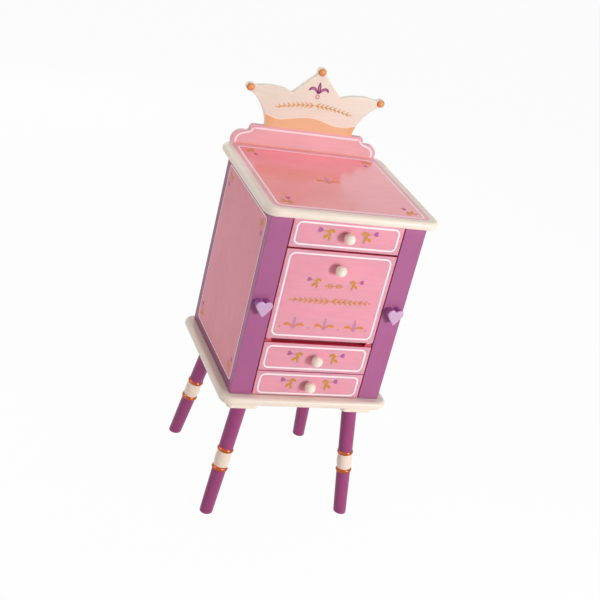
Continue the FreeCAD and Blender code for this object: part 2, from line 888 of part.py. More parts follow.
def side_hinge_leaves(side, on_door):
    """Leaves of one side door's hinges; the door has the middle knuckle."""
    x, y = side_pivot(side)
    third = hinge_height / 3
    way = side if on_door else -side
    width = hinge_door_leaf_width if on_door else hinge_fixed_leaf_width
    clear = hinge_barrel_radius + hinge_side_gap
    leaves = []
    half_gap = hinge_side_gap / 2
    for z in hinge_bottoms():
        if on_door:
            spans = [(z + third + half_gap, z + 2 * third - half_gap)]
        else:
            spans = [(z, z + third - half_gap), (z + 2 * third + half_gap, z + hinge_height)]
        leaf = box(x + way * clear, x + way * (clear + width), back_y, back_y + hinge_plate,
                   z, z + hinge_height)
        for z0, z1 in spans:
            leaf = leaf.fuse(rod(hinge_barrel_radius, V(x, y, z0), V(x, y, z1)))
            leaf = leaf.fuse(box(x, x + way * clear, back_y + hinge_side_gap, back_y + hinge_plate, z0, z1))
        leaf = leaf.removeSplitter()
        hole = rod(hinge_pin_radius + pin_clearance, V(x, y, z), V(x, y, z + hinge_height))
        leaves.append(leaf.cut(hole))
    return leaves


def hinge_fixed_leaves():
    return Part.makeCompound(side_hinge_leaves(-1, False) + side_hinge_leaves(1, False))


def hinge_pins():
    pins = []
    for side in (-1, 1):
        x, y = side_pivot(side)
        for z in hinge_bottoms():
            pins.append(rod(hinge_pin_radius, V(x, y, z), V(x, y, z + hinge_height)))
    return Part.makeCompound(pins)


def hook_rail_middle():
    """Middle height of the hook rails, and their span along the wall."""
    z = body_top - hook_rail_drop
    y_middle = (wall_front_y + inner_back_y) / 2
    return z, y_middle - hook_rail_length / 2, y_middle + hook_rail_length / 2


def hook_rails():
    z, y0, y1 = hook_rail_middle()
    rails = []
    for side in (-1, 1):
        rail = box(side * wall_outer_x, side * (wall_outer_x + hook_rail_thickness), y0, y1,
                   z - hook_rail_height / 2, z + hook_rail_height / 2)
        for root in hook_roots(side):
            inward = V(-side * hook_root_depth, 0, 0)
            rail = rail.cut(rod(hook_wire_radius, root, root + inward))
        rails.append(rail)
    return Part.makeCompound(rails)


def hook_roots(side):
    """Where the hooks leave the rail's face."""
    z, y0, y1 = hook_rail_middle()
    pitch = (y1 - y0) / hook_count
    x = side * (wall_outer_x + hook_rail_thickness)
    return [V(x, y0 + pitch * (step + 0.5), z) for step in range(hook_count)]


def necklace_hooks():
    """Bent wire hooks: out of the rail, round a bend and up."""
    hooks = []
    for side in (-1, 1):
        for root in hook_roots(side):
            start = root + V(-side * hook_root_depth, 0, 0)
            bend_start = root + V(side * (hook_reach - hook_bend_radius), 0, 0)
            bend_middle = bend_start + V(side * hook_bend_radius * math.sin(math.pi / 4), 0,
                                         hook_bend_radius * (1 - math.cos(math.pi / 4)))
            bend_end = bend_start + V(side * hook_bend_radius, 0, hook_bend_radius)
            tip = bend_end + V(0, 0, hook_rise - hook_bend_radius)
            path = Part.Wire([
                line(start, bend_start),
                arc(bend_start, bend_middle, bend_end),
                line(bend_end, tip),
            ])
            section = Part.Wire([Part.makeCircle(hook_wire_radius, start, V(1, 0, 0))])
            hooks.append(path.makePipeShell([section], True, False))
    return Part.makeCompound(hooks)


def build():
    """Every node of the cabinet, by name."""
    nodes = {
        "base_board": base_board(),
        "top_board": top_board(),
        "leg_blocks": leg_blocks(),
        "leg_bolts": Part.makeCompound([leg_bolt(foot, 0) for foot in leg_lines()]),
        "back_panel": back_panel(),
        "upper_shelf": shelf(upper_shelf_bottom, upper_shelf_top, wall_front_y),
        "compartment_shelf": compartment_shelf(),
        "drawer_runners": drawer_runners(),
        "top_battens": top_battens(),
        "carcass_screws": carcass_screws(),
        "gallery_crown": gallery_crown(),
        "gallery_screws": gallery_screws(),
        "crown_buttons": crown_buttons(),
        "magnet_catches": magnet_catches(),
        "hook_rails": hook_rails(),
        "necklace_hooks": necklace_hooks(),
        "hinge_fixed_leaves": hinge_fixed_leaves(),
        "hinge_pins": hinge_pins(),
        "shelf_hinge_leaves": flap_leaf(False),
        "shelf_hinge_pins": flap_pins(),
        "drop_door": front_board(door_bottom, door_top, door_knob_height),
        "drop_door_knob": ball_knob(door_knob_height),
        "drop_door_screw": knob_screw(door_knob_height),
        "drop_door_hinge_leaves": flap_leaf(True),
        "drop_door_strike_plate": door_strike_plate(),
    }
    leg_names = ("leg_front_left", "leg_front_right", "leg_back_left", "leg_back_right")
    for name, foot in zip(leg_names, leg_lines()):
        nodes[name] = leg(foot)
    drawers = {
        "drawer_1": (drawer_1_bottom, drawer_1_height, drawer_1_box_bottom, drawer_1_box_height),
        "drawer_2": (drawer_2_bottom, drawer_2_height, drawer_2_box_bottom, drawer_2_box_height),
        "drawer_3": (drawer_3_bottom, drawer_3_height, drawer_3_box_bottom, drawer_3_box_height),
    }
    for name, sizes in drawers.items():
        nodes.update(drawer(name, *sizes))
    for name, side in (("left", -1), ("right", 1)):
        nodes[name + "_inner_wall"] = inner_wall(side)
        nodes[name + "_stile"] = stile(side)
        nodes[name + "_side_panel"] = side_panel(side)
        nodes[name + "_heart_knob"] = heart_knob(side)
        nodes[name + "_strike_plate"] = side_strike_plate(side)
        nodes[name + "_hinge_leaves"] = Part.makeCompound(side_hinge_leaves(side, True))
    return nodes


os.makedirs("parts", exist_ok=True)
for node_name, node_shape in build().items():
    node_shape.exportStep(os.path.join("parts", node_name + ".step"))
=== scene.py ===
import math

import bmesh
import bpy
from mathutils import Matrix, Vector
from mathutils.geometry import tessellate_polygon


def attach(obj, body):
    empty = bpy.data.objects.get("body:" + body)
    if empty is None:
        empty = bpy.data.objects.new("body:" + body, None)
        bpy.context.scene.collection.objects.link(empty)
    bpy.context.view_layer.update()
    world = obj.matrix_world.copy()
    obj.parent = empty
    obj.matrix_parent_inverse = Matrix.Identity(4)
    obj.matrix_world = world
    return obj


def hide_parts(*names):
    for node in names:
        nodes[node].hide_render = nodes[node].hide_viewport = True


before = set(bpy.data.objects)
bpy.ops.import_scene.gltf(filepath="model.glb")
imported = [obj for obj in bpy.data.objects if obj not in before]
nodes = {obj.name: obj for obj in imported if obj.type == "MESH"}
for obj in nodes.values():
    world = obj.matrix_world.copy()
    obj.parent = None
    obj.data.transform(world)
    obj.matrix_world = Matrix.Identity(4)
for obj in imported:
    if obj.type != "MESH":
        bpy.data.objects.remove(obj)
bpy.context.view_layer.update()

scene = bpy.context.scene
scene.view_settings.view_transform = "Standard"
MM = 0.001

# Sizes of the object in millimetres, as in the CAD model
FRONT_Y = -130.0
TOP_Z = 595.0
HALF_BODY = 137.5
GALLERY_FRONT_Y = FRONT_Y + 270.6
GALLERY_HEIGHT = 37.0
BLOCK_BOTTOM = 215.0
KNOB_HEIGHTS = {"drawer_3": 270.4, "drawer_2": 321.8, "drop_door": 493.6, "drawer_1": 552.1}
KNOB_RADIUS = 9.5
KNOB_REACH = 20.5
KNOB_FOOT_RADIUS = 5.5
KNOB_FOOT_HEIGHT = 1.5
KNOB_FOOT_EDGE = 0.3
KNOB_NECK_RADIUS = 4.2
BUTTON_RADIUS = 6.9
BUTTON_RIM = 1.2
BUTTON_HEIGHT = 4.6
BUTTON_PLACES = ((-123.5, 103.8), (0.0, 145.9), (123.5, 103.8))
LEG_TOP_X = 103.0
LEG_TOP_Y = {"front": FRONT_Y + 29.6, "back": FRONT_Y + 234.4}
LEG_SPLAY = 26.2
LEG_FOOT_RADIUS = 11.6
LEG_FOOT_ROUNDING = 2.5
LEG_MIDDLE_RADIUS = 12.9
LEG_TOP_RADIUS = 13.5
LEG_NECK_RADIUS = 12.4
LEG_BEAD_RADIUS = 13.8
LEG_BEAD_LENGTH = 28.2
LEG_BEAD_HEIGHT = 105.0
LEG_RING_RADIUS = 14.6
LEG_RING_HEIGHT = 7.6

# How finely round shapes are divided
LATHE_SEGMENTS = 64
LEG_FOOT_STEPS = 6
LEG_RING_STEPS = 10
LEG_BEAD_STEPS = 16
KNOB_STEPS = 24
DOME_STEPS = 12
CORNER_STEPS = 8
CIRCLE_STEPS = 20
PETAL_STEPS = 12

# Steps of a button's profile that have the darker edge colour, painted shade round the dome's rim
BUTTON_SHADE_STEPS = 4

# Turned pieces shade sharply across edges steeper than this, in degrees
SHARP_ANGLE = 40.0

# The least radius at the tip of a turned piece, and the least width of a brush stroke, in mm
TIP_RADIUS = 0.05
THINNEST_STROKE = 0.1

# Paint film heights over the wood in mm, each later coat over the one before
FIELD_FILM = 0.12
TOP_FIELD_FILM = FIELD_FILM + 0.04
LINE_FILM = 0.2
STROKE_FILM = 0.26
ACCENT_FILM = 0.34
LAYER_FILM = 0.015

# Widths of the painted lines in mm
LINE_WIDTH = 2.9
TOP_LINE_WIDTH = 3.3
SIDE_LINE_WIDTH = 1.8
GALLERY_LINE_WIDTH = 3.2
# The gallery's foot glint is a painted highlight along its joint with the top
FOOT_GLINT_WIDTH = 1.5
BAND_LINE_WIDTH = 1.8


def paint(red, green, blue):
    """Linear light of a paint colour given as display values up to 255."""
    def linear(part):
        part /= 255.0
        if part <= 0.04045:
            return part / 12.92
        return ((part + 0.055) / 1.055) ** 2.4
    return linear(red), linear(green), linear(blue)


CREAM = paint(238, 222, 207)
CROWN_CREAM = paint(238, 226, 210)
BEAD_CREAM = paint(240, 218, 201)
IVORY = paint(246, 230, 214)
PINK = paint(236, 162, 178)
# Painted shade: a darker copy of the fronts' pink for the side fields, for the shade on the sides
SIDE_SHADE_PINK = paint(226, 138, 152)
TOP_PINK = paint(251, 137, 148)
GALLERY_PINK = paint(232, 172, 179)
# Painted shade: crimson on the narrow edges of the inner walls and fronts, for the shade in the gaps
GAP_SHADE_ROSE = paint(206, 62, 88)
# Painted shade: deeper rose on the compartment shelf's front strip, for the shadow under the drop door
SHELF_SHADE_ROSE = paint(206, 78, 100)
RING_ROSE = paint(216, 140, 150)
PURPLE = paint(168, 90, 138)
# Painted shade: a darker copy of the stiles' purple for the side panels' border, for the shade on the
# sides
SIDE_SHADE_PURPLE = paint(140, 66, 108)
LEG_PURPLE = paint(154, 66, 119)
DARK_PURPLE = paint(148, 50, 114)
LILAC = paint(204, 165, 199)
# Painted shade: darker purple on the heart knobs' sides, for the shade on them
HEART_SIDE_SHADE = paint(164, 92, 158)
BUD_LILAC = paint(180, 92, 150)
PETAL_LILAC = paint(196, 128, 168)
LINE_WHITE = paint(255, 232, 236)
PALE_PEACH = paint(250, 226, 206)
GOLD = paint(206, 138, 54)
PALE_GOLD = paint(230, 146, 90)
CROWN_GOLD = paint(232, 178, 124)
LEAF_GOLD = paint(226, 134, 66)
# Painted highlight: pale gold for the glint along the joint at the gallery's foot
FOOT_GLINT_GOLD = paint(238, 172, 138)
ORANGE = paint(236, 187, 142)
DEEP_ORANGE = paint(232, 170, 114)
BUTTON_ORANGE = paint(234, 154, 84)
# Painted shade: a darker orange round the crown buttons' rim, where the dome turns from the light
BUTTON_SHADE_ORANGE = paint(206, 124, 64)
COPPER = paint(176, 82, 40)
PINE_LIGHT = paint(206, 170, 126)
PINE_DARK = paint(172, 130, 86)

# Metals, already in linear light
ZINC = (0.62, 0.62, 0.63)
YELLOW_BRASS = (0.62, 0.44, 0.17)

# Scales that draw a grain out along one axis, or leave it even
ALONG_X = (0.06, 1.0, 1.0)
ALONG_Z = (1.0, 1.0, 0.06)
PINE_ALONG_X = (0.05, 1.0, 1.0)
PINE_ALONG_Y = (1.0, 0.05, 1.0)
EVEN = (1.0, 1.0, 1.0)

# Where boards and heart knobs change colour, in mm. The crimson front edges of the walls, fronts and
# shelf, the hearts' darker sides and the side panels' darker purple are painted shade. The fronts'
# edges reach
# FRONT_EDGE_HALF to each side of FRONT_MIDDLE_Y.
WALL_EDGE_Y = FRONT_Y + 14.0
SHELF_EDGE_Y = FRONT_Y + 13.5
FRONT_MIDDLE_Y = FRONT_Y + 5.9
FRONT_EDGE_HALF = 5.5
HEART_FACE_Y = FRONT_Y - 13.4
PANEL_FACE_X = HALF_BODY - 2.0

# How much a sprayed colour drifts, as a share of it
PAINT_DRIFT = 0.03

# How far light travels under the front boards' paint: the longest way in metres, then shares of it
# for red, green and blue
BLEED_WAY = 0.014
BLEED_SHARES = (1.0, 0.06, 0.1)


# Materials

def new_material(name):
    """A material with its node tree and its main shader."""
    material = bpy.data.materials.new(name)
    material.use_nodes = True
    shader = material.node_tree.nodes["Principled BSDF"]
    return material, material.node_tree, shader


def object_space(tree, scale=EVEN):
    """Object coordinates stretched by a scale on each axis."""
    place = tree.nodes.new("ShaderNodeTexCoord")
    mapping = tree.nodes.new("ShaderNodeMapping")
    mapping.inputs["Scale"].default_value = scale
    tree.links.new(place.outputs["Object"], mapping.inputs["Vector"])
    return mapping.outputs["Vector"]


def coordinate(tree, axis):
    """One of the object coordinates, in metres."""
    place = tree.nodes.new("ShaderNodeTexCoord")
    parts = tree.nodes.new("ShaderNodeSeparateXYZ")
    tree.links.new(place.outputs["Object"], parts.inputs["Vector"])
    return parts.outputs[axis]


def noise(tree, vector, scale, detail, roughness):
    node = tree.nodes.new("ShaderNodeTexNoise")
    node.inputs["Scale"].default_value = scale
    node.inputs["Detail"].default_value = detail
    node.inputs["Roughness"].default_value = roughness
    tree.links.new(vector, node.inputs["Vector"])
    return node.outputs["Fac"]


def ramp(tree, value, stops):
    """Colours between (position, colour) stops, chosen by a value."""
    node = tree.nodes.new("ShaderNodeValToRGB")
    elements = node.color_ramp.elements
    while len(elements) < len(stops):
        elements.new(0.5)
    for element, (position, color) in zip(elements, stops):
        element.position = position
        element.color = (*color, 1.0)
    tree.links.new(value, node.inputs["Fac"])
    return node.outputs["Color"]


def grey_ramp(tree, value, low, high, start=0.3, end=0.7):
    return ramp(tree, value, [(start, (low,) * 3), (end, (high,) * 3)])


def shade(color, factor):
    return tuple(min(1.0, part * factor) for part in color)


def drift_ramp(tree, value, color, variation):
    """One colour that a value makes slightly darker or lighter."""
    darker = shade(color, 1.0 - variation)
    lighter = shade(color, 1.0 + variation)
    return ramp(tree, value, [(0.3, darker), (0.7, lighter)])


def math_node(tree, operation, first, second):
    node = tree.nodes.new("ShaderNodeMath")
    node.operation = operation
    for socket, value in zip(node.inputs, (first, second)):
        if isinstance(value, float):
            socket.default_value = value
        else:
            tree.links.new(value, socket)
    return node.outputs["Value"]


def mix_colors(tree, blend, factor, first, second):
    mix = tree.nodes.new("ShaderNodeMix")
    mix.data_type = "RGBA"
    mix.blend_type = blend
    sockets = (mix.inputs[0], mix.inputs[6], mix.inputs[7])
    for socket, value in zip(sockets, (factor, first, second)):
        if isinstance(value, float):
            socket.default_value = value
        else:
            tree.links.new(value, socket)
    return mix.outputs[2]


def add_bump(tree, shader, height, strength, distance):
    bump = tree.nodes.new("ShaderNodeBump")
    bump.inputs["Strength"].default_value = strength
    bump.inputs["Distance"].default_value = distance
    tree.links.new(height, bump.inputs["Height"])
    tree.links.new(bump.outputs["Normal"], shader.inputs["Normal"])


def cloudy(tree, color, variation):
    """One paint colour that drifts slightly lighter and darker over the surface."""
    clouds = noise(tree, object_space(tree), scale=14.0, detail=4.0, roughness=0.6)
    return drift_ramp(tree, clouds, color, variation)


def paint_surface(tree, shader, color_socket, roughness, coat, grain_scale, bleed=0.0, shine=0.3):
    """Sprayed lacquer: faint wood grain showing through, orange peel, uneven gloss."""
    grain = noise(tree, object_space(tree, grain_scale), scale=260.0, detail=3.0, roughness=0.65)
    tone = grey_ramp(tree, grain, 0.955, 1.0, start=0.35, end=0.6)
    toned = mix_colors(tree, "MULTIPLY", 1.0, color_socket, tone)
    tree.links.new(toned, shader.inputs["Base Color"])
    even = object_space(tree)
    gloss = noise(tree, even, scale=45.0, detail=3.0, roughness=0.6)
    uneven = grey_ramp(tree, gloss, roughness - 0.04, roughness + 0.05)
    tree.links.new(uneven, shader.inputs["Roughness"])
    peel = noise(tree, even, scale=900.0, detail=2.0, roughness=0.5)
    add_bump(tree, shader, math_node(tree, "ADD", peel, grain), strength=0.12, distance=0.00015)
    shader.inputs["Coat Weight"].default_value = coat
    shader.inputs["Coat Roughness"].default_value = 0.16
    if bleed:
        shader.inputs["Subsurface Weight"].default_value = bleed
        shader.inputs["Subsurface Radius"].default_value = BLEED_SHARES
        shader.inputs["Subsurface Scale"].default_value = BLEED_WAY
    shader.inputs["Specular IOR Level"].default_value = shine


def sprayed_paint(name, color, roughness=0.34, coat=0.15, grain=EVEN, variation=PAINT_DRIFT, shine=0.3):
    material, tree, shader = new_material(name)
    drifting = cloudy(tree, color, variation)
    paint_surface(tree, shader, drifting, roughness, coat, grain, shine=shine)
    return material


def two_tone_paint(name, axis, level, low_color, high_color, grain, middle=None, coat=0.08, bleed=0.0,
                   shine=0.3):
    """Sprayed paint that changes colour where a coordinate passes a level in mm.

    With a middle, the distance from that middle counts instead of the coordinate.
    """
    material, tree, shader = new_material(name)
    value = coordinate(tree, axis)
    if middle is not None:
        value = math_node(tree, "ABSOLUTE", math_node(tree, "SUBTRACT", value, middle * MM), 0.0)
    above = math_node(tree, "GREATER_THAN", value, level * MM)
    low = cloudy(tree, low_color, PAINT_DRIFT)
    high = cloudy(tree, high_color, PAINT_DRIFT)
    color = mix_colors(tree, "MIX", above, low, high)
    paint_surface(tree, shader, color, 0.36, coat, grain, bleed, shine)
    return material


def orange_band_paint():
    """The crown's orange band, a little deeper towards its two ends."""
    material, tree, shader = new_material("orange_band_paint")
    sideways = math_node(tree, "ABSOLUTE", coordinate(tree, "X"), 0.0)
    # A share of 1 is 100 mm from the middle
    share = math_node(tree, "MULTIPLY", sideways, 10.0)
    base = ramp(tree, share, [(0.66, ORANGE), (0.86, DEEP_ORANGE)])
    paint_surface(tree, shader, base, 0.38, 0.1, ALONG_X)
    return material


def brushed_paint(name, color, variation=0.14):
    """Hand-brushed ornament paint: thicker and thinner strokes, nearly matt."""
    material, tree, shader = new_material(name)
    even = object_space(tree)
    strokes = noise(tree, even, scale=420.0, detail=3.0, roughness=0.7)
    tree.links.new(drift_ramp(tree, strokes, color, variation), shader.inputs["Base Color"])
    fine = noise(tree, even, scale=1500.0, detail=2.0, roughness=0.5)
    tree.links.new(grey_ramp(tree, fine, 0.36, 0.5), shader.inputs["Roughness"])
    add_bump(tree, shader, strokes, strength=0.15, distance=0.00015)
    shader.inputs["Specular IOR Level"].default_value = 0.22
    return material


def metallic_paint(name, color):
    """Copper paint with fine flakes under a thin clear coat."""
    material, tree, shader = new_material(name)
    even = object_space(tree)
    flakes = noise(tree, even, scale=2200.0, detail=2.0, roughness=0.6)
    base = ramp(tree, flakes, [(0.35, shade(color, 0.8)), (0.65, shade(color, 1.25))])
    tree.links.new(base, shader.inputs["Base Color"])
    clouds = noise(tree, even, scale=60.0, detail=3.0, roughness=0.6)
    tree.links.new(grey_ramp(tree, clouds, 0.18, 0.34), shader.inputs["Roughness"])
    add_bump(tree, shader, flakes, strength=0.1, distance=0.0001)
    shader.inputs["Metallic"].default_value = 0.8
    shader.inputs["Coat Weight"].default_value = 0.1
    shader.inputs["Coat Roughness"].default_value = 0.2
    return material


def bare_wood(name, light, dark, grain_scale):
    """Lacquered softwood with long grain lines along one axis."""
    material, tree, shader = new_material(name)
    stretched = object_space(tree, grain_scale)
    warp = noise(tree, stretched, scale=9.0, detail=4.0, roughness=0.6)
    lines = noise(tree, stretched, scale=70.0, detail=5.0, roughness=0.7)
    base = ramp(tree, lines, [(0.3, dark), (0.5, shade(light, 0.92)), (0.72, light)])
    toned = mix_colors(tree, "MULTIPLY", 1.0, base, grey_ramp(tree, warp, 0.86, 1.0))
    tree.links.new(toned, shader.inputs["Base Color"])
    tree.links.new(grey_ramp(tree, lines, 0.38, 0.55), shader.inputs["Roughness"])
    add_bump(tree, shader, lines, strength=0.25, distance=0.0003)
    shader.inputs["Coat Weight"].default_value = 0.12
    return material


def plated_metal(name, color, roughness):
    """Plated steel or brass with fine scratches and dull patches."""
    material, tree, shader = new_material(name)
    drawn_out = object_space(tree, (1.0, 1.0, 18.0))
    scratches = noise(tree, drawn_out, scale=600.0, detail=2.0, roughness=0.6)
    patches = noise(tree, object_space(tree), scale=90.0, detail=4.0, roughness=0.6)
    base = ramp(tree, patches, [(0.3, shade(color, 0.82)), (0.7, color)])
    tree.links.new(base, shader.inputs["Base Color"])
    dull = grey_ramp(tree, patches, roughness - 0.06, roughness + 0.14)
    tree.links.new(dull, shader.inputs["Roughness"])
    add_bump(tree, shader, scratches, strength=0.1, distance=0.0001)
    shader.inputs["Metallic"].default_value = 1.0
    return material


cream = sprayed_paint("cream_paint", CREAM, roughness=0.38, coat=0.1, grain=ALONG_X)
pink = sprayed_paint("pink_paint", PINK, grain=ALONG_Z)
top_rim_pink = sprayed_paint("top_rim_paint", PINK, coat=0.4, grain=ALONG_X)
top_pink = sprayed_paint("top_field_paint", TOP_PINK, roughness=0.16, coat=0.75, grain=ALONG_X)
# Painted shade: the side fields' darker pink stands in for the shade on the sides
side_shade_pink = sprayed_paint("side_field_shade_paint", SIDE_SHADE_PINK, roughness=0.4, coat=0.05, grain=ALONG_Z)
purple = sprayed_paint("purple_paint", PURPLE, roughness=0.4, coat=0.1, grain=ALONG_Z)
leg_purple = sprayed_paint("leg_purple_paint", LEG_PURPLE, roughness=0.4, coat=0.05, grain=ALONG_Z,
                           shine=0.24)
ivory = sprayed_paint("ivory_paint", IVORY, roughness=0.3, coat=0.3, variation=0.015)
bead_cream = sprayed_paint("bead_paint", BEAD_CREAM, roughness=0.36, variation=0.02)
button = sprayed_paint("button_paint", BUTTON_ORANGE, roughness=0.3, coat=0.4, variation=0.05)
# Painted shade round the crown buttons' rim
button_shade = sprayed_paint("button_edge_paint", BUTTON_SHADE_ORANGE, roughness=0.3, coat=0.4, variation=0.05)

# Boards and heart knobs with a second colour on their narrow sides or their upper part. On the walls,
# fronts, shelf, hearts and side panels the second colour is painted shade; the crown's cream upper part
# is its own paint.
pink_wall_gap_shade = two_tone_paint("pink_wall_paint", "Y", WALL_EDGE_Y, GAP_SHADE_ROSE, PINK, ALONG_Z)
pink_front_gap_shade = two_tone_paint("pink_front_paint", "Y", FRONT_EDGE_HALF, GAP_SHADE_ROSE, PINK, ALONG_X,
                            middle=FRONT_MIDDLE_Y, coat=0.0, bleed=0.8, shine=0.15)
pink_shelf_shade = two_tone_paint("pink_shelf_paint", "Y", SHELF_EDGE_Y, SHELF_SHADE_ROSE, PINK, ALONG_X, coat=0.0)
crown_paint = two_tone_paint("crown_paint", "Z", TOP_Z + GALLERY_HEIGHT, GALLERY_PINK, CROWN_CREAM,
                             ALONG_X)
panel_paint = two_tone_paint("side_panel_paint", "X", PANEL_FACE_X, PINK, SIDE_SHADE_PURPLE, ALONG_Z,
                             middle=0.0)
lilac = two_tone_paint("lilac_paint", "Y", HEART_FACE_Y, LILAC, HEART_SIDE_SHADE, ALONG_Z)
orange_band = orange_band_paint()

# Paints of the lines and ornaments
line_white = brushed_paint("line_paint", LINE_WHITE, variation=0.02)
peach_line = brushed_paint("peach_line_paint", PALE_PEACH, variation=0.02)
gold = brushed_paint("motif_gold_paint", GOLD)
leaf_gold = brushed_paint("leaf_gold_paint", LEAF_GOLD)
pale_gold = brushed_paint("scroll_gold_paint", PALE_GOLD)
crown_gold = brushed_paint("crown_scroll_paint", CROWN_GOLD)
# Painted highlight along the gallery's foot
foot_glint_gold = brushed_paint("foot_glint_paint", FOOT_GLINT_GOLD)
bud_lilac = brushed_paint("bud_lilac_paint", BUD_LILAC)
petal_lilac = brushed_paint("petal_lilac_paint", PETAL_LILAC)
dark_purple = brushed_paint("dark_purple_paint", DARK_PURPLE)
ring_rose = brushed_paint("ring_rose_paint", RING_ROSE)

copper = metallic_paint("copper_paint", COPPER)
pine_long = bare_wood("pine_along_y", PINE_LIGHT, PINE_DARK, PINE_ALONG_Y)
pine_cross = bare_wood("pine_along_x", PINE_LIGHT, PINE_DARK, PINE_ALONG_X)
steel = plated_metal("zinc_plated_steel", ZINC, 0.32)
brass = plated_metal("polished_brass", YELLOW_BRASS, 0.26)

NODE_MATERIALS = {
    cream: ("base_board", "top_board", "leg_blocks"),
    pink: ("back_panel", "hook_rails", "shelf_hinge_leaves", "drop_door_hinge_leaves"),
    pink_wall_gap_shade: ("left_inner_wall", "right_inner_wall"),
    pink_front_gap_shade: ("upper_shelf", "drop_door", "drawer_1_front", "drawer_2_front", "drawer_3_front"),
    pink_shelf_shade: ("compartment_shelf",),
    crown_paint: ("gallery_crown",),
    panel_paint: ("left_side_panel", "right_side_panel"),
    purple: ("left_stile", "right_stile"),
    leg_purple: ("leg_front_left", "leg_front_right", "leg_back_left", "leg_back_right"),
    lilac: ("left_heart_knob", "right_heart_knob"),
    ivory: ("drop_door_knob", "drawer_1_knob", "drawer_2_knob", "drawer_3_knob"),
    button: ("crown_buttons",),
    pine_long: ("drawer_runners", "top_battens", "drawer_1_sides", "drawer_2_sides", "drawer_3_sides"),
    pine_cross: ("drawer_1_back", "drawer_2_back", "drawer_3_back", "drawer_1_bottom",
                 "drawer_2_bottom", "drawer_3_bottom"),
    steel: ("leg_bolts", "carcass_screws", "gallery_screws", "magnet_catches", "hinge_pins",
            "shelf_hinge_pins", "drop_door_screw", "drop_door_strike_plate", "drawer_1_screw",
            "drawer_2_screw", "drawer_3_screw", "left_strike_plate", "right_strike_plate"),
    brass: ("necklace_hooks", "hinge_fixed_leaves", "left_hinge_leaves", "right_hinge_leaves"),
}
for material, names in NODE_MATERIALS.items():
    for name in names:
        materials = nodes[name].data.materials
        materials.clear()
        materials.append(material)


# Mesh helpers

class Plane:
    """A flat side of the object: a point on it in mm, two directions along it, and the way it faces."""

    def __init__(self, origin, across, up, normal):
        self.origin = Vector(origin)
        self.across = Vector(across)
        self.up = Vector(up)
        self.normal = Vector(normal)

    def point(self, u, v, height):
        return (self.origin + self.across * u + self.up * v + self.normal * height) * MM


FRONT = Plane((0, FRONT_Y, 0), (1, 0, 0), (0, 0, 1), (0, -1, 0))
TOP = Plane((0, 0, TOP_Z), (1, 0, 0), (0, 1, 0), (0, 0, 1))
LEFT = Plane((-HALF_BODY, 0, 0), (0, 1, 0), (0, 0, 1), (-1, 0, 0))
RIGHT = Plane((HALF_BODY, 0, 0), (0, 1, 0), (0, 0, 1), (1, 0, 0))
CROWN = Plane((0, GALLERY_FRONT_Y, TOP_Z), (1, 0, 0), (0, 0, 1), (0, -1, 0))
SIDE_DOORS = ((LEFT, "left_door"), (RIGHT, "right_door"))


def finish_mesh(name, mesh_data, materials, body, smooth=False):
    """Turns mesh data into an object that rides on a body."""
    bmesh.ops.recalc_face_normals(mesh_data, faces=mesh_data.faces)
    for face in mesh_data.faces:
        face.smooth = smooth
    mesh = bpy.data.meshes.new(name)
    mesh_data.to_mesh(mesh)
    mesh_data.free()
    piece = bpy.data.objects.new(name, mesh)
    scene.collection.objects.link(piece)
    for material in materials:
        piece.data.materials.append(material)
    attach(piece, body)
    return piece


def add_film(mesh_data, plane, outline, height):
    """Adds one thin coat of paint inside a closed outline of (u, v) points."""
    low = [mesh_data.verts.new(plane.point(u, v, 0.0)) for u, v in outline]
    high = [mesh_data.verts.new(plane.point(u, v, height)) for u, v in outline]
    count = len(outline)
    for index in range(count):
        after = (index + 1) % count
        mesh_data.faces.new((low[index], low[after], high[after], high[index]))
    flat = [Vector((u, v, 0.0)) for u, v in outline]
    for triangle in tessellate_polygon([flat]):
        mesh_data.faces.new([high[index] for index in triangle])
        mesh_data.faces.new([low[index] for index in reversed(triangle)])


def add_ring(mesh_data, plane, outer, inner, height):
    """Adds a coat of paint between two closed outlines with as many points each."""
    count = len(outer)
    loops = []
    for outline, level in ((outer, 0.0), (outer, height), (inner, height), (inner, 0.0)):
        loops.append([mesh_data.verts.new(plane.point(u, v, level)) for u, v in outline])
    for index in range(count):
        after = (index + 1) % count
        for first, second in zip(loops, loops[1:] + loops[:1]):
            mesh_data.faces.new((first[index], first[after], second[after], second[index]))


def smooth_curve(points, steps):
    """Points along a Catmull-Rom curve through the given points."""
    result = []
    padded = [points[0]] + list(points) + [points[-1]]
    for index in range(1, len(padded) - 2):
        before, start, end, after = (padded[index + offset] for offset in (-1, 0, 1, 2))
        for step in range(steps):
            t = step / steps
            result.append(0.5 * (2 * start + (end - before) * t
                                 + (2 * before - 5 * start + 4 * end - after) * t ** 2
                                 + (3 * start - before - 3 * end + after) * t ** 3))
    result.append(points[-1])
    return result


def add_stroke(mesh_data, plane, points, widths, height, steps=6):
    """Adds one brush stroke along a smooth curve, with its width given at each point."""
    path = smooth_curve([Vector(point) for point in points], steps)
    spans = len(points) - 1
    rows = []
    for index, point in enumerate(path):
        before = path[max(index - 1, 0)]
        after = path[min(index + 1, len(path) - 1)]
        direction = (after - before).normalized()
        sideways = Vector((-direction.y, direction.x))
        share = index / (len(path) - 1) * spans
        span = min(int(share), spans - 1)
        width = widths[span] + (widths[span + 1] - widths[span]) * (share - span)
        half = max(width, THINNEST_STROKE) / 2
        left = point + sideways * half
        right = point - sideways * half
        rows.append([mesh_data.verts.new(plane.point(*place, level))
                     for place, level in ((left, 0.0), (left, height), (right, height), (right, 0.0))])
    for first, second in zip(rows, rows[1:]):
        for corner in range(4):
            beside = (corner + 1) % 4
            mesh_data.faces.new((first[corner], second[corner], second[beside], first[beside]))
    mesh_data.faces.new(rows[0])
    mesh_data.faces.new(rows[-1][::-1])


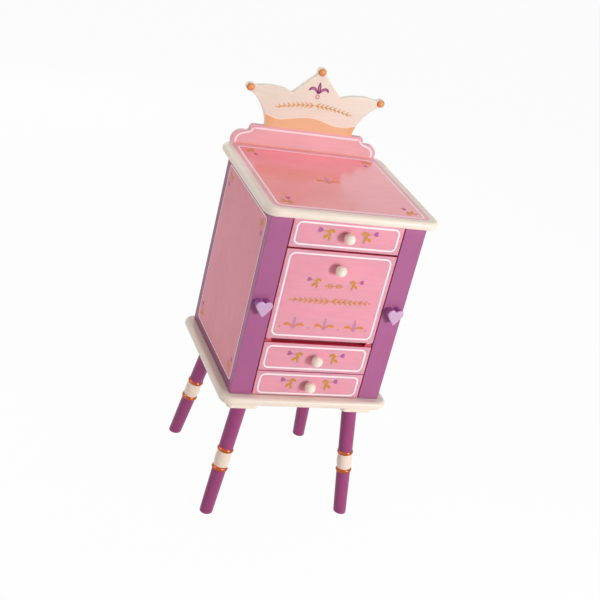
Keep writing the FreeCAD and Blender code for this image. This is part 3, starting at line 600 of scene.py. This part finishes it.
def circle(center, radius):
    points = []
    for step in range(CIRCLE_STEPS):
        angle = 2 * math.pi * step / CIRCLE_STEPS
        points.append((center[0] + radius * math.cos(angle), center[1] + radius * math.sin(angle)))
    return points


def rounded_rectangle(u0, u1, v0, v1, radius):
    points = []
    corners = ((u1 - radius, v1 - radius, 0), (u0 + radius, v1 - radius, 90),
               (u0 + radius, v0 + radius, 180), (u1 - radius, v0 + radius, 270))
    for u, v, start in corners:
        for step in range(CORNER_STEPS + 1):
            angle = math.radians(start + 90.0 * step / CORNER_STEPS)
            points.append((u + radius * math.cos(angle), v + radius * math.sin(angle)))
    return points


def petal_outline(length, width):
    """A pointed petal standing on the origin."""
    right = []
    for step in range(PETAL_STEPS + 1):
        share = step / PETAL_STEPS
        right.append((width / 2 * math.sin(math.pi * share ** 0.85) ** 0.8, length * share))
    left = [(-u, v) for u, v in right[-2:0:-1]]
    return right + left


class Placed:
    """Moves motif points to a place: sized, mirrored if flip is -1, then turned by degrees."""

    def __init__(self, center, scale=1.0, turn=0.0, flip=1):
        self.center = center
        self.scale = scale
        self.flip = flip
        self.cosine = math.cos(math.radians(turn))
        self.sine = math.sin(math.radians(turn))

    def __call__(self, points):
        result = []
        for u, v in points:
            u *= self.scale * self.flip
            v *= self.scale
            result.append((self.center[0] + u * self.cosine - v * self.sine,
                           self.center[1] + u * self.sine + v * self.cosine))
        return result


# Camera, from a fit to the photograph

AZIMUTH = math.radians(23.78)
ELEVATION = math.radians(24.59)
ROLL = math.radians(14.29)
TARGET = Vector((3.83, FRONT_Y + 132.0, 365.1)) * MM
DISTANCE = 2.2176
FOCAL_PIXELS = 1248.36
IMAGE_PIXELS = 600.0
SENSOR_WIDTH = 36.0


def add_camera():
    """A camera at a distance from its target, turned, raised and rolled."""
    backwards = Vector((-math.sin(AZIMUTH) * math.cos(ELEVATION),
                        -math.cos(AZIMUTH) * math.cos(ELEVATION),
                        math.sin(ELEVATION)))
    level = Vector((math.cos(AZIMUTH), -math.sin(AZIMUTH), 0.0))
    upwards = backwards.cross(level)
    right_way = math.cos(ROLL) * level + math.sin(ROLL) * upwards
    up_way = -math.sin(ROLL) * level + math.cos(ROLL) * upwards
    data = bpy.data.cameras.new("camera")
    data.sensor_width = SENSOR_WIDTH
    data.lens = FOCAL_PIXELS * SENSOR_WIDTH / IMAGE_PIXELS
    camera = bpy.data.objects.new("camera", data)
    scene.collection.objects.link(camera)
    rotation = Matrix((right_way, up_way, backwards)).transposed()
    camera.matrix_world = Matrix.Translation(TARGET + backwards * DISTANCE) @ rotation.to_4x4()
    scene.camera = camera


add_camera()


# Light, world and floor, in metres and watts

FLOOR_SIZE = 6.0
FLOOR_DROP = 0.0005
FLOOR_WHITENESS = 0.96
FLOOR_GREY = 0.9
FILL_STRENGTH = 0.1


def area_light(name, place, aim, size, power):
    data = bpy.data.lights.new(name, "AREA")
    data.size = size
    data.energy = power
    lamp = bpy.data.objects.new(name, data)
    lamp.location = place
    lamp.rotation_euler = (Vector(aim) - Vector(place)).to_track_quat("-Z", "Y").to_euler()
    lamp.visible_camera = False
    scene.collection.objects.link(lamp)


def seen_or_mirrored(tree):
    """One for rays from the camera and for reflections, else nought."""
    rays = tree.nodes.new("ShaderNodeLightPath")
    glossy = math_node(tree, "MAXIMUM", rays.outputs["Is Camera Ray"], rays.outputs["Is Glossy Ray"])
    return math_node(tree, "MAXIMUM", glossy, rays.outputs["Is Transmission Ray"])


def background(tree, color, strength):
    node = tree.nodes.new("ShaderNodeBackground")
    node.inputs["Color"].default_value = (*color, 1.0)
    node.inputs["Strength"].default_value = strength
    return node.outputs["Background"]


def studio_world():
    """A weak warm fill on the surfaces, plain white for the camera and in reflections."""
    world = bpy.data.worlds.new("studio")
    world.use_nodes = True
    tree = world.node_tree
    tree.nodes.clear()
    output = tree.nodes.new("ShaderNodeOutputWorld")
    choose = tree.nodes.new("ShaderNodeMixShader")
    tree.links.new(seen_or_mirrored(tree), choose.inputs["Fac"])
    tree.links.new(background(tree, (1.0, 0.98, 0.97), FILL_STRENGTH), choose.inputs[1])
    tree.links.new(background(tree, (1.0, 1.0, 1.0), 1.0), choose.inputs[2])
    tree.links.new(choose.outputs["Shader"], output.inputs["Surface"])
    return world


def floor_material():
    """A pale floor, near white to the camera, that still takes the object's shadow."""
    material, tree, shader = new_material("studio_floor")
    shader.inputs["Base Color"].default_value = (FLOOR_GREY, FLOOR_GREY, FLOOR_GREY, 1.0)
    shader.inputs["Roughness"].default_value = 0.9
    glow = tree.nodes.new("ShaderNodeEmission")
    glow.inputs["Strength"].default_value = 1.0
    mix = tree.nodes.new("ShaderNodeMixShader")
    whiteness = math_node(tree, "MULTIPLY", seen_or_mirrored(tree), FLOOR_WHITENESS)
    tree.links.new(whiteness, mix.inputs["Fac"])
    tree.links.new(shader.outputs["BSDF"], mix.inputs[1])
    tree.links.new(glow.outputs["Emission"], mix.inputs[2])
    tree.links.new(mix.outputs["Shader"], tree.nodes["Material Output"].inputs["Surface"])
    return material


def add_floor():
    mesh_data = bmesh.new()
    bmesh.ops.create_grid(mesh_data, x_segments=2, y_segments=2, size=FLOOR_SIZE)
    mesh = bpy.data.meshes.new("studio_floor")
    mesh_data.to_mesh(mesh)
    mesh_data.free()
    mesh.materials.append(floor_material())
    floor = bpy.data.objects.new("studio_floor", mesh)
    floor.location = (0.0, 0.0, -FLOOR_DROP)
    scene.collection.objects.link(floor)


area_light("key_light", (1.04, -1.9, 0.8), aim=(0.0, -0.1, 0.42), size=0.5, power=34.5)
area_light("left_light", (-2.0, 0.0, 0.95), aim=(0.0, 0.0, 0.35), size=1.4, power=14.5)
area_light("top_light", (0.1, 0.0, 2.4), aim=(0.0, 0.0, 0.5), size=1.3, power=16.5)
area_light("back_light", (-0.2, 2.2, 0.95), aim=(0.0, 0.0, 0.4), size=1.6, power=10.0)
scene.world = studio_world()
add_floor()


# Turned pieces

def turned(name, profile, base, axis, materials, band_of, body, cut=None):
    """A lathe piece: (radius, along) points turned round an axis from a base point, both in mm.

    band_of gives the material number for each step of the profile. cut moves each ring's points.
    """
    axis = Vector(axis).normalized()
    side = axis.orthogonal().normalized()
    other = axis.cross(side)
    base = Vector(base)
    mesh_data = bmesh.new()
    rings = []
    for index, (radius, along) in enumerate(profile):
        ring = []
        for step in range(LATHE_SEGMENTS):
            angle = 2 * math.pi * step / LATHE_SEGMENTS
            spoke = side * math.cos(angle) + other * math.sin(angle)
            point = base + axis * along + spoke * radius
            if cut:
                point = cut(index, point, axis)
            ring.append(mesh_data.verts.new(point * MM))
        rings.append(ring)
    for index, (first, second) in enumerate(zip(rings, rings[1:])):
        for step in range(LATHE_SEGMENTS):
            beside = (step + 1) % LATHE_SEGMENTS
            face = mesh_data.faces.new((first[step], first[beside], second[beside], second[step]))
            face.material_index = band_of(index)
    mesh_data.faces.new(rings[0][::-1]).material_index = band_of(0)
    mesh_data.faces.new(rings[-1]).material_index = band_of(len(profile) - 2)
    piece = finish_mesh(name, mesh_data, materials, body, smooth=True)
    piece.data.set_sharp_from_angle(angle=math.radians(SHARP_ANGLE))
    return piece


def arc_through(first, middle, last, steps):
    """Points on the circle through three (radius, along) points, from first to last."""
    (ax, ay), (bx, by), (cx, cy) = first, middle, last
    spread = 2 * (ax * (by - cy) + bx * (cy - ay) + cx * (ay - by))
    a2, b2, c2 = ax * ax + ay * ay, bx * bx + by * by, cx * cx + cy * cy
    center = Vector(((a2 * (by - cy) + b2 * (cy - ay) + c2 * (ay - by)) / spread,
                     (a2 * (cx - bx) + b2 * (ax - cx) + c2 * (bx - ax)) / spread))
    radius = (Vector(first) - center).length
    start = math.atan2(ay - center.y, ax - center.x)
    end = math.atan2(cy - center.y, cx - center.x)
    half = math.atan2(by - center.y, bx - center.x)
    turn = 2 * math.pi
    if not start < (half if half > start else half + turn) < (end if end > start else end + turn):
        if end > start:
            end -= turn
    elif end < start:
        end += turn
    points = []
    for step in range(steps + 1):
        angle = start + (end - start) * step / steps
        points.append((center.x + radius * math.cos(angle), center.y + radius * math.sin(angle)))
    return points


# Material numbers of a leg's bands
SHAFT_BAND = 0
RING_BAND = 1
BEAD_BAND = 2


def leg_profile(length, slant):
    """Profile of a leg along its axis, and the material number of each step."""
    bead = LEG_BEAD_HEIGHT / slant
    half_ring = LEG_RING_HEIGHT / 2
    low_ring = bead - LEG_BEAD_LENGTH / 2 - half_ring
    high_ring = bead + LEG_BEAD_LENGTH / 2 + half_ring
    below = low_ring - half_ring
    above = high_ring + half_ring
    low_neck = (LEG_NECK_RADIUS, low_ring + half_ring)
    high_neck = (LEG_NECK_RADIUS, high_ring - half_ring)

    def shaft(along):
        if along < bead:
            return LEG_FOOT_RADIUS + (LEG_MIDDLE_RADIUS - LEG_FOOT_RADIUS) * along / bead
        share = (along - bead) / (length - bead)
        return LEG_MIDDLE_RADIUS + (LEG_TOP_RADIUS - LEG_MIDDLE_RADIUS) * share

    rounding = LEG_FOOT_ROUNDING
    points = []
    bands = []
    for step in range(LEG_FOOT_STEPS + 1):
        angle = math.radians(90.0 * step / LEG_FOOT_STEPS)
        radius = shaft(0) - rounding + rounding * math.sin(angle)
        points.append((radius, rounding - rounding * math.cos(angle)))
        bands.append(SHAFT_BAND)
    for share in (0.25, 0.5, 0.75):
        points.append((shaft(below * share), below * share))
        bands.append(SHAFT_BAND)
    points += arc_through((shaft(below), below), (LEG_RING_RADIUS, low_ring), low_neck, LEG_RING_STEPS)
    bands += [RING_BAND] * LEG_RING_STEPS
    points += arc_through(low_neck, (LEG_BEAD_RADIUS, bead), high_neck, LEG_BEAD_STEPS)[1:]
    bands += [BEAD_BAND] * LEG_BEAD_STEPS
    points += arc_through(high_neck, (LEG_RING_RADIUS, high_ring), (shaft(above), above),
                          LEG_RING_STEPS)[1:]
    bands += [RING_BAND] * LEG_RING_STEPS
    for share in (0.34, 0.67, 1.0):
        along = above + (length - above) * share
        points.append((shaft(along), along))
        bands.append(SHAFT_BAND)
    return points, bands


def add_leg(node, side, row):
    """One leg, splayed outwards from the block above it, with level ends."""
    outwards = -1 if row == "front" else 1
    top = Vector((side * LEG_TOP_X, LEG_TOP_Y[row], BLOCK_BOTTOM))
    foot = Vector((top.x + side * LEG_SPLAY, top.y + outwards * LEG_SPLAY, 0.0))
    axis = top - foot
    slant = axis.normalized().z
    points, bands = leg_profile(axis.length, slant)

    def band_of(index):
        return bands[min(index, len(bands) - 1)]

    def cut(index, point, direction):
        """Slides the foot's and the top's points along the axis to level ends."""
        if index <= LEG_FOOT_STEPS:
            middle_height = points[index][1] * slant
            return point + direction * (middle_height - point.z) / slant
        if index == len(points) - 1:
            return point + direction * (BLOCK_BOTTOM - point.z) / slant
        return point

    piece = turned(node + "_turned", points, foot, axis, (leg_purple, copper, bead_cream), band_of,
                   "cabinet", cut)
    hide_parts(node)


def knob_profile():
    """Foot disc, neck and ball of a knob."""
    edge = KNOB_FOOT_EDGE
    profile = [(KNOB_FOOT_RADIUS - edge, 0.0), (KNOB_FOOT_RADIUS, edge),
               (KNOB_FOOT_RADIUS, KNOB_FOOT_HEIGHT - edge), (KNOB_FOOT_RADIUS - edge, KNOB_FOOT_HEIGHT),
               (KNOB_NECK_RADIUS, KNOB_FOOT_HEIGHT)]
    middle = KNOB_REACH - KNOB_RADIUS
    neck_meets = middle - math.sqrt(KNOB_RADIUS ** 2 - KNOB_NECK_RADIUS ** 2)
    start = math.atan2(neck_meets - middle, KNOB_NECK_RADIUS)
    for step in range(KNOB_STEPS + 1):
        angle = start + (math.pi / 2 - start) * step / KNOB_STEPS
        radius = max(KNOB_RADIUS * math.cos(angle), TIP_RADIUS)
        profile.append((radius, middle + KNOB_RADIUS * math.sin(angle)))
    return profile


def add_knobs():
    for body, height in KNOB_HEIGHTS.items():
        place = (0, FRONT_Y, height)
        piece = turned(body + "_knob_turned", knob_profile(), place, (0, -1, 0), (ivory,),
                       lambda index: 0, body)
        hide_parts(body + "_knob")


def button_profile():
    """The rim of a button and the dome on it."""
    rise = BUTTON_HEIGHT - BUTTON_RIM
    dome = (BUTTON_RADIUS ** 2 + rise ** 2) / (2 * rise)
    reach = math.asin(BUTTON_RADIUS / dome)
    profile = [(BUTTON_RADIUS, 0.0), (BUTTON_RADIUS, BUTTON_RIM)]
    for step in range(1, DOME_STEPS + 1):
        angle = reach * (1 - step / DOME_STEPS)
        radius = max(dome * math.sin(angle), TIP_RADIUS)
        profile.append((radius, BUTTON_HEIGHT - dome + dome * math.cos(angle)))
    return profile


def button_band(index):
    """The darker edge, painted shade, up to the dome's first steps, then the lighter middle."""
    return 0 if index < BUTTON_SHADE_STEPS else 1


def add_buttons():
    """Three domed buttons, one mesh each, on the tips of the crown."""
    for number, (x, height) in enumerate(BUTTON_PLACES, 1):
        place = (x, GALLERY_FRONT_Y, TOP_Z + height)
        piece = turned("crown_button_%d" % number, button_profile(), place, (0, -1, 0),
                       (button_shade, button), button_band, "cabinet")
        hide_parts("crown_buttons")


add_leg("leg_front_left", -1, "front")
add_leg("leg_front_right", 1, "front")
add_leg("leg_back_left", -1, "back")
add_leg("leg_back_right", 1, "back")
add_knobs()
add_buttons()


# Painted fields and lines

def line_piece(name, plane, limits, radius, body, width=LINE_WIDTH):
    """A painted line round a rounded rectangle, given by the line's middle."""
    u0, u1, v0, v1 = limits
    half = width / 2
    outer = rounded_rectangle(u0 - half, u1 + half, v0 - half, v1 + half, radius + half)
    inner = rounded_rectangle(u0 + half, u1 - half, v0 + half, v1 - half, radius - half)
    mesh_data = bmesh.new()
    add_ring(mesh_data, plane, outer, inner, LINE_FILM)
    finish_mesh(name, mesh_data, (line_white,), body)


def field_piece(name, plane, limits, radius, body, material, film=FIELD_FILM):
    """A painted field inside a rounded rectangle."""
    mesh_data = bmesh.new()
    add_film(mesh_data, plane, rounded_rectangle(*limits, radius), film)
    finish_mesh(name, mesh_data, (material,), body)


def crown_line(name, points, width, material, steps):
    """A painted line of even width along a curve on the gallery or the crown."""
    mesh_data = bmesh.new()
    add_stroke(mesh_data, CROWN, points, [width] * len(points), LINE_FILM, steps)
    finish_mesh(name, mesh_data, (material,), "cabinet")


# Line round each front: its lower and upper height, and the radius of its corners
FRONT_LINES = {
    "drawer_1": (532.0, 570.7, 8.5),
    "drop_door": (364.0, 516.0, 9.5),
    "drawer_2": (301.0, 342.5, 8.5),
    "drawer_3": (251.0, 287.5, 8.5),
}
FRONT_LINE_END = 90.0
TOP_RIM = (-138.5, 138.5, FRONT_Y - 4.75, GALLERY_FRONT_Y)
TOP_RIM_RADIUS = 12.0
TOP_LINE = (-129.5, 129.5, FRONT_Y + 2.95, FRONT_Y + 255.05)
TOP_LINE_RADIUS = 8.0
SIDE_LINE = (FRONT_Y + 15.45, FRONT_Y + 245.55, 263.2, 563.5)
SIDE_LINE_RADIUS = 7.0

for body, (low, high, radius) in FRONT_LINES.items():
    line_piece(body + "_line", FRONT, (-FRONT_LINE_END, FRONT_LINE_END, low, high), radius, body)
field_piece("top_rim", TOP, TOP_RIM, TOP_RIM_RADIUS, "cabinet", top_rim_pink)
line_piece("top_line", TOP, TOP_LINE, TOP_LINE_RADIUS, "cabinet", TOP_LINE_WIDTH)
field_piece("top_field", TOP, TOP_LINE, TOP_LINE_RADIUS, "cabinet", top_pink, TOP_FIELD_FILM)
for plane, body in SIDE_DOORS:
    field_piece(body + "_field", plane, SIDE_LINE, SIDE_LINE_RADIUS, body, side_shade_pink)
    line_piece(body + "_line", plane, SIDE_LINE, SIDE_LINE_RADIUS, body, SIDE_LINE_WIDTH)

# The gallery's line, right half from the foot to the middle, as X and height
GALLERY_LINE = [(130.7, 1.5), (130.4, 9.0), (127.0, 15.0), (120.0, 19.4), (111.0, 22.0), (106.0, 24.5),
                (103.9, 27.6), (100.5, 30.6), (96.0, 31.2), (60.0, 31.2), (0.0, 31.2)]
GALLERY_LEFT_HALF = [(-x, height) for x, height in GALLERY_LINE[-2::-1]]
# Painted highlight: a glint along the joint at the gallery's foot, as X and height
FOOT_GLINT_POINTS = [(-129.0, 1.5), (0.0, 1.5), (129.0, 1.5)]
crown_line("gallery_line", GALLERY_LINE + GALLERY_LEFT_HALF, GALLERY_LINE_WIDTH, line_white,
           5)
crown_line("gallery_foot_glint", FOOT_GLINT_POINTS, FOOT_GLINT_WIDTH, foot_glint_gold, 2)

# The orange band on the crown's foot: its wavy upper edge from left to right, the crown's right side
# beside it, and the end of its lower edge, as X and height
BAND_EDGE = [(-86.6, 58.6), (-73.0, 54.4), (-62.0, 52.3), (-50.0, 53.4), (-32.5, 56.9), (-20.0, 59.4),
             (-4.0, 61.0), (5.0, 60.4), (17.0, 58.5), (29.0, 55.1), (40.0, 52.3), (50.0, 50.7),
             (61.5, 50.6), (73.0, 52.0), (86.0, 55.6)]
BAND_SIDE = [(82.6, 38.4), (83.1, 43.0), (84.4, 49.0)]
BAND_FOOT = (82.0, 37.0)


def add_orange_band():
    outline = [tuple(point) for point in smooth_curve([Vector(point) for point in BAND_EDGE], 4)]
    outline += BAND_SIDE[::-1]
    outline += [BAND_FOOT, (-BAND_FOOT[0], BAND_FOOT[1])]
    outline += [(-x, height) for x, height in BAND_SIDE]
    mesh_data = bmesh.new()
    add_film(mesh_data, CROWN, outline, FIELD_FILM)
    finish_mesh("crown_band", mesh_data, (orange_band,), "cabinet")
    line = [(x, height + BAND_LINE_WIDTH / 2) for x, height in BAND_EDGE]
    crown_line("crown_band_line", line, BAND_LINE_WIDTH, peach_line, 4)


add_orange_band()


# Painted motifs

class Motifs:
    """Collects the strokes of one painted side by colour, then makes one piece for each colour."""

    def __init__(self, name, plane, body):
        self.name = name
        self.plane = plane
        self.body = body
        self.meshes = {}

    def mesh(self, material):
        if material not in self.meshes:
            self.meshes[material] = bmesh.new()
        return self.meshes[material]

    def stroke(self, material, points, widths, height=STROKE_FILM, steps=6):
        add_stroke(self.mesh(material), self.plane, points, widths, height, steps)

    def spot(self, material, outline):
        add_film(self.mesh(material), self.plane, outline, STROKE_FILM)

    def ring(self, material, outer, inner):
        add_ring(self.mesh(material), self.plane, outer, inner, STROKE_FILM)

    def finish(self):
        for material, mesh_data in self.meshes.items():
            name = self.name + "_" + material.name
            finish_mesh(name, mesh_data, (material,), self.body)


def scaled(widths, scale):
    return [width * scale for width in widths]


# A sprig: its heart-shaped bud, open to the left with the stem on the right at the origin, the stem,
# and the leaves, each as points along its middle and the width at each point
BUD = [(0.0, 0.0), (-1.5, 1.9), (-3.4, 3.3), (-5.6, 3.6), (-7.2, 2.4), (-6.7, 0.5), (-7.4, -1.2),
       (-6.4, -3.0), (-4.0, -3.2), (-1.7, -1.8)]
BUD_PLACE = Placed((-8.6, 2.2), 1.3, -6.0)
SPRIG_STEM = [(-9.4, 2.2), (-5.0, 2.0), (0.0, 0.6)]
SPRIG_LEAVES = (
    ([(-1.0, -0.2), (2.4, 3.0), (6.4, 3.6), (9.6, 1.6), (10.8, -1.0)], [1.4, 3.6, 5.0, 4.6, 1.2]),
    ([(2.0, 2.0), (3.4, -3.0), (3.4, -8.0), (4.6, -12.0), (3.2, -15.4)], [2.4, 5.2, 4.0, 4.2, 1.0]),
    ([(2.0, -3.0), (0.4, -6.0), (-2.4, -7.4), (-4.6, -9.6), (-5.4, -12.2)], [1.8, 3.4, 4.6, 4.8, 1.2]),
    ([(0.0, 0.4), (1.6, -1.6), (2.4, -4.0)], [1.6, 3.8, 2.6]),
)


def sprig(motifs, center, scale, turn, flip):
    """A gold sprig with three drooping leaves, a small one, and a lilac bud on a thin stem."""
    place = Placed(center, scale, turn, flip)
    motifs.spot(bud_lilac, place(BUD_PLACE(BUD)))
    motifs.stroke(gold, place(SPRIG_STEM), scaled((0.9, 1.0, 1.4), scale))
    for layer, (points, widths) in enumerate(SPRIG_LEAVES, 1):
        motifs.stroke(gold, place(points), scaled(widths, scale), STROKE_FILM + LAYER_FILM * layer)


def fleur(motifs, center, scale):
    """Two gold leaves spread from a foot, and an outlined lilac petal that stands on it."""
    place = Placed(center, scale)
    for side in (-1, 1):
        leaf_line = [(side * 0.6, 1.0), (side * 5.0, 5.6), (side * 10.0, 7.6), (side * 14.6, 7.2),
                     (side * 18.0, 5.6)]
        motifs.stroke(leaf_gold, place(leaf_line), scaled((1.2, 3.0, 4.6, 4.8, 1.6), scale))
        foot_line = [(side * 0.2, -0.6), (side * 1.6, 1.6), (side * 3.0, 4.0)]
        motifs.stroke(petal_lilac, place(foot_line), scaled((1.8, 1.8, 0.9), scale), ACCENT_FILM)
    outer = [(u, v + 2.6) for u, v in petal_outline(19.4, 5.4)]
    inner = [(u, v + 5.2) for u, v in petal_outline(13.8, 3.0)]
    motifs.ring(petal_lilac, place(outer), place(inner))
    motifs.stroke(petal_lilac, place([(0.2, 6.0), (0.5, 11.0), (0.2, 16.0)]), [0.3, 0.5, 0.3])


# Turn of a garland's leaves away from their stem, in degrees
LEAF_TURN = 38.0


def leaf(motifs, material, base, angle, length, width):
    """One small pointed leaf that leaves a stem at an angle in degrees."""
    place = Placed(base, 1.0, angle)
    points = [(0.0, 0.0), (length * 0.35, width * 0.12), (length * 0.7, width * 0.08),
              (length, -width * 0.1)]
    motifs.stroke(material, place(points), [width * 0.3, width, width * 0.75, 0.2], steps=4)


def leafy_garland(motifs, material, side, height, fall, reach, pairs, leaf_length):
    """A stem that runs from the middle to one side, with pairs of leaves that lean outwards.

    At a distance x from the middle the stem is at height - fall * x * x.
    """
    spacing = (reach - leaf_length) / pairs
    outwards = 0.0 if side > 0 else 180.0

    def on_stem(steps):
        x = side * spacing * steps
        return x, height - fall * x * x

    stem = [on_stem(step) for step in range(pairs + 1)]
    motifs.stroke(material, stem, [leaf_length * 0.13] * len(stem), steps=3)
    for step in range(pairs):
        size = leaf_length * (1.0 - 0.3 * step / pairs)
        for turn in (LEAF_TURN, -LEAF_TURN):
            leaf(motifs, material, on_stem(step + 0.4), outwards + side * turn, size, size * 0.36)
    leaf(motifs, material, stem[-1], outwards, leaf_length * 0.8, leaf_length * 0.28)


# Height and size of the two sprigs on each front
FRONT_SPRIGS = {
    "drawer_1": (557.0, 1.0),
    "drop_door": (468.2, 0.84),
    "drawer_2": (327.0, 0.95),
    "drawer_3": (275.2, 0.95),
}
FRONT_SPRIG_X = 35.5
DOOR_FLEUR_HEIGHT = 378.2
DOOR_FLEURS_X = (-55.0, 0.0, 54.6)
DOOR_DOT_HEIGHT = 379.6
DOOR_DOTS_X = (-79.0, -28.3, 26.2, 77.5)
DOOR_DOT_RADIUS = 1.3

# Rows of leaves on the drop door: height, reach to each side, pairs of leaves there, and leaf length
DOOR_GARLANDS = ((460.5, 19.0, 2, 8.0), (432.0, 77.0, 7, 10.5))


def door_ornaments(motifs):
    """Fleurs with small dots between them along the foot of the drop door, and rows of leaves above."""
    for x in DOOR_FLEURS_X:
        fleur(motifs, (x, DOOR_FLEUR_HEIGHT), 1.0)
    for x in DOOR_DOTS_X:
        motifs.spot(gold, circle((x, DOOR_DOT_HEIGHT), DOOR_DOT_RADIUS))
        motifs.stroke(petal_lilac, [(x + 1.2, 381.0), (x + 2.4, 382.2)], [0.9, 0.5])
    for side in (-1, 1):
        for height, reach, pairs, leaf_length in DOOR_GARLANDS:
            leafy_garland(motifs, pale_gold, side, height, 0.0, reach, pairs, leaf_length)


for body, (height, scale) in FRONT_SPRIGS.items():
    front_motifs = Motifs(body + "_motif", FRONT, body)
    for side in (-1, 1):
        sprig(front_motifs, (side * FRONT_SPRIG_X, height), scale, 0.0, -side)
    if body == "drop_door":
        door_ornaments(front_motifs)
    front_motifs.finish()

# The crown's purple ornament, as X and height: the foot of its upright petal, the foot of the arched
# ones, one of those and its light vein from that foot, the upright petal's vein, and the ring's middle
PETAL_FOOT = (1.7, 107.2)
PETAL_LENGTH = 21.5
PETAL_WIDTH = 6.6
PETAL_TURN = 3.0
ARCH_FOOT = (1.2, 107.0)
ARCH = [(0.4, 0.0), (6.0, 6.6), (11.0, 9.0), (15.6, 7.8), (18.2, 4.0)]
ARCH_VEIN = [(3.6, 4.2), (7.0, 7.2), (11.0, 8.8), (15.4, 7.2)]
PETAL_VEIN = [(1.6, 110.5), (1.2, 117.0), (0.9, 124.0)]
RING_MIDDLE = (1.2, 101.2)
RING_OUTER_RADIUS = 4.2
RING_INNER_RADIUS = 2.2

crown_motifs = Motifs("crown_motif", CROWN, "cabinet")
upright = Placed(PETAL_FOOT, turn=PETAL_TURN)
crown_motifs.spot(dark_purple, upright(petal_outline(PETAL_LENGTH, PETAL_WIDTH)))
for side in (-1, 1):
    place = Placed(ARCH_FOOT, flip=side)
    crown_motifs.stroke(dark_purple, place(ARCH), [2.4, 4.6, 5.4, 4.6, 1.4])
    crown_motifs.stroke(petal_lilac, place(ARCH_VEIN), [0.6, 1.8, 2.2, 0.6], ACCENT_FILM)
crown_motifs.stroke(petal_lilac, PETAL_VEIN, [0.8, 2.2, 0.5], ACCENT_FILM)
ring_edge = circle(RING_MIDDLE, RING_OUTER_RADIUS)
ring_hole = circle(RING_MIDDLE, RING_INNER_RADIUS)
crown_motifs.ring(ring_rose, ring_edge, ring_hole)
for side in (-1, 1):
    leafy_garland(crown_motifs, crown_gold, side, height=84.5, fall=0.0021, reach=76.0, pairs=8,
                  leaf_length=9.0)
crown_motifs.finish()

# Sprigs in the corners of the top and of the sides, and a fleur in the middle of the top
CORNER_SPRIG_SIZE = 0.95
SIDE_SPRIGS_LOW = 282.5
SIDE_SPRIGS_HIGH = 545.5

top_motifs = Motifs("top_motif", TOP, "cabinet")
for side in (-1, 1):
    sprig(top_motifs, (side * 106.5, FRONT_Y + 22.0), CORNER_SPRIG_SIZE, 90.0 * side, -side)
    sprig(top_motifs, (side * 107.5, FRONT_Y + 237.0), CORNER_SPRIG_SIZE, 90.0 * side, side)
fleur(top_motifs, (-2.0, FRONT_Y + 119.75), 1.2)
top_motifs.finish()

for plane, body in SIDE_DOORS:
    side_motifs = Motifs(body + "_motif", plane, body)
    for way, y in ((-1, FRONT_Y + 32.0), (1, FRONT_Y + 229.5)):
        sprig(side_motifs, (y, SIDE_SPRIGS_HIGH), CORNER_SPRIG_SIZE, -90.0 * way, -way)
        sprig(side_motifs, (y, SIDE_SPRIGS_LOW), CORNER_SPRIG_SIZE, -90.0 * way, way)
    side_motifs.finish()
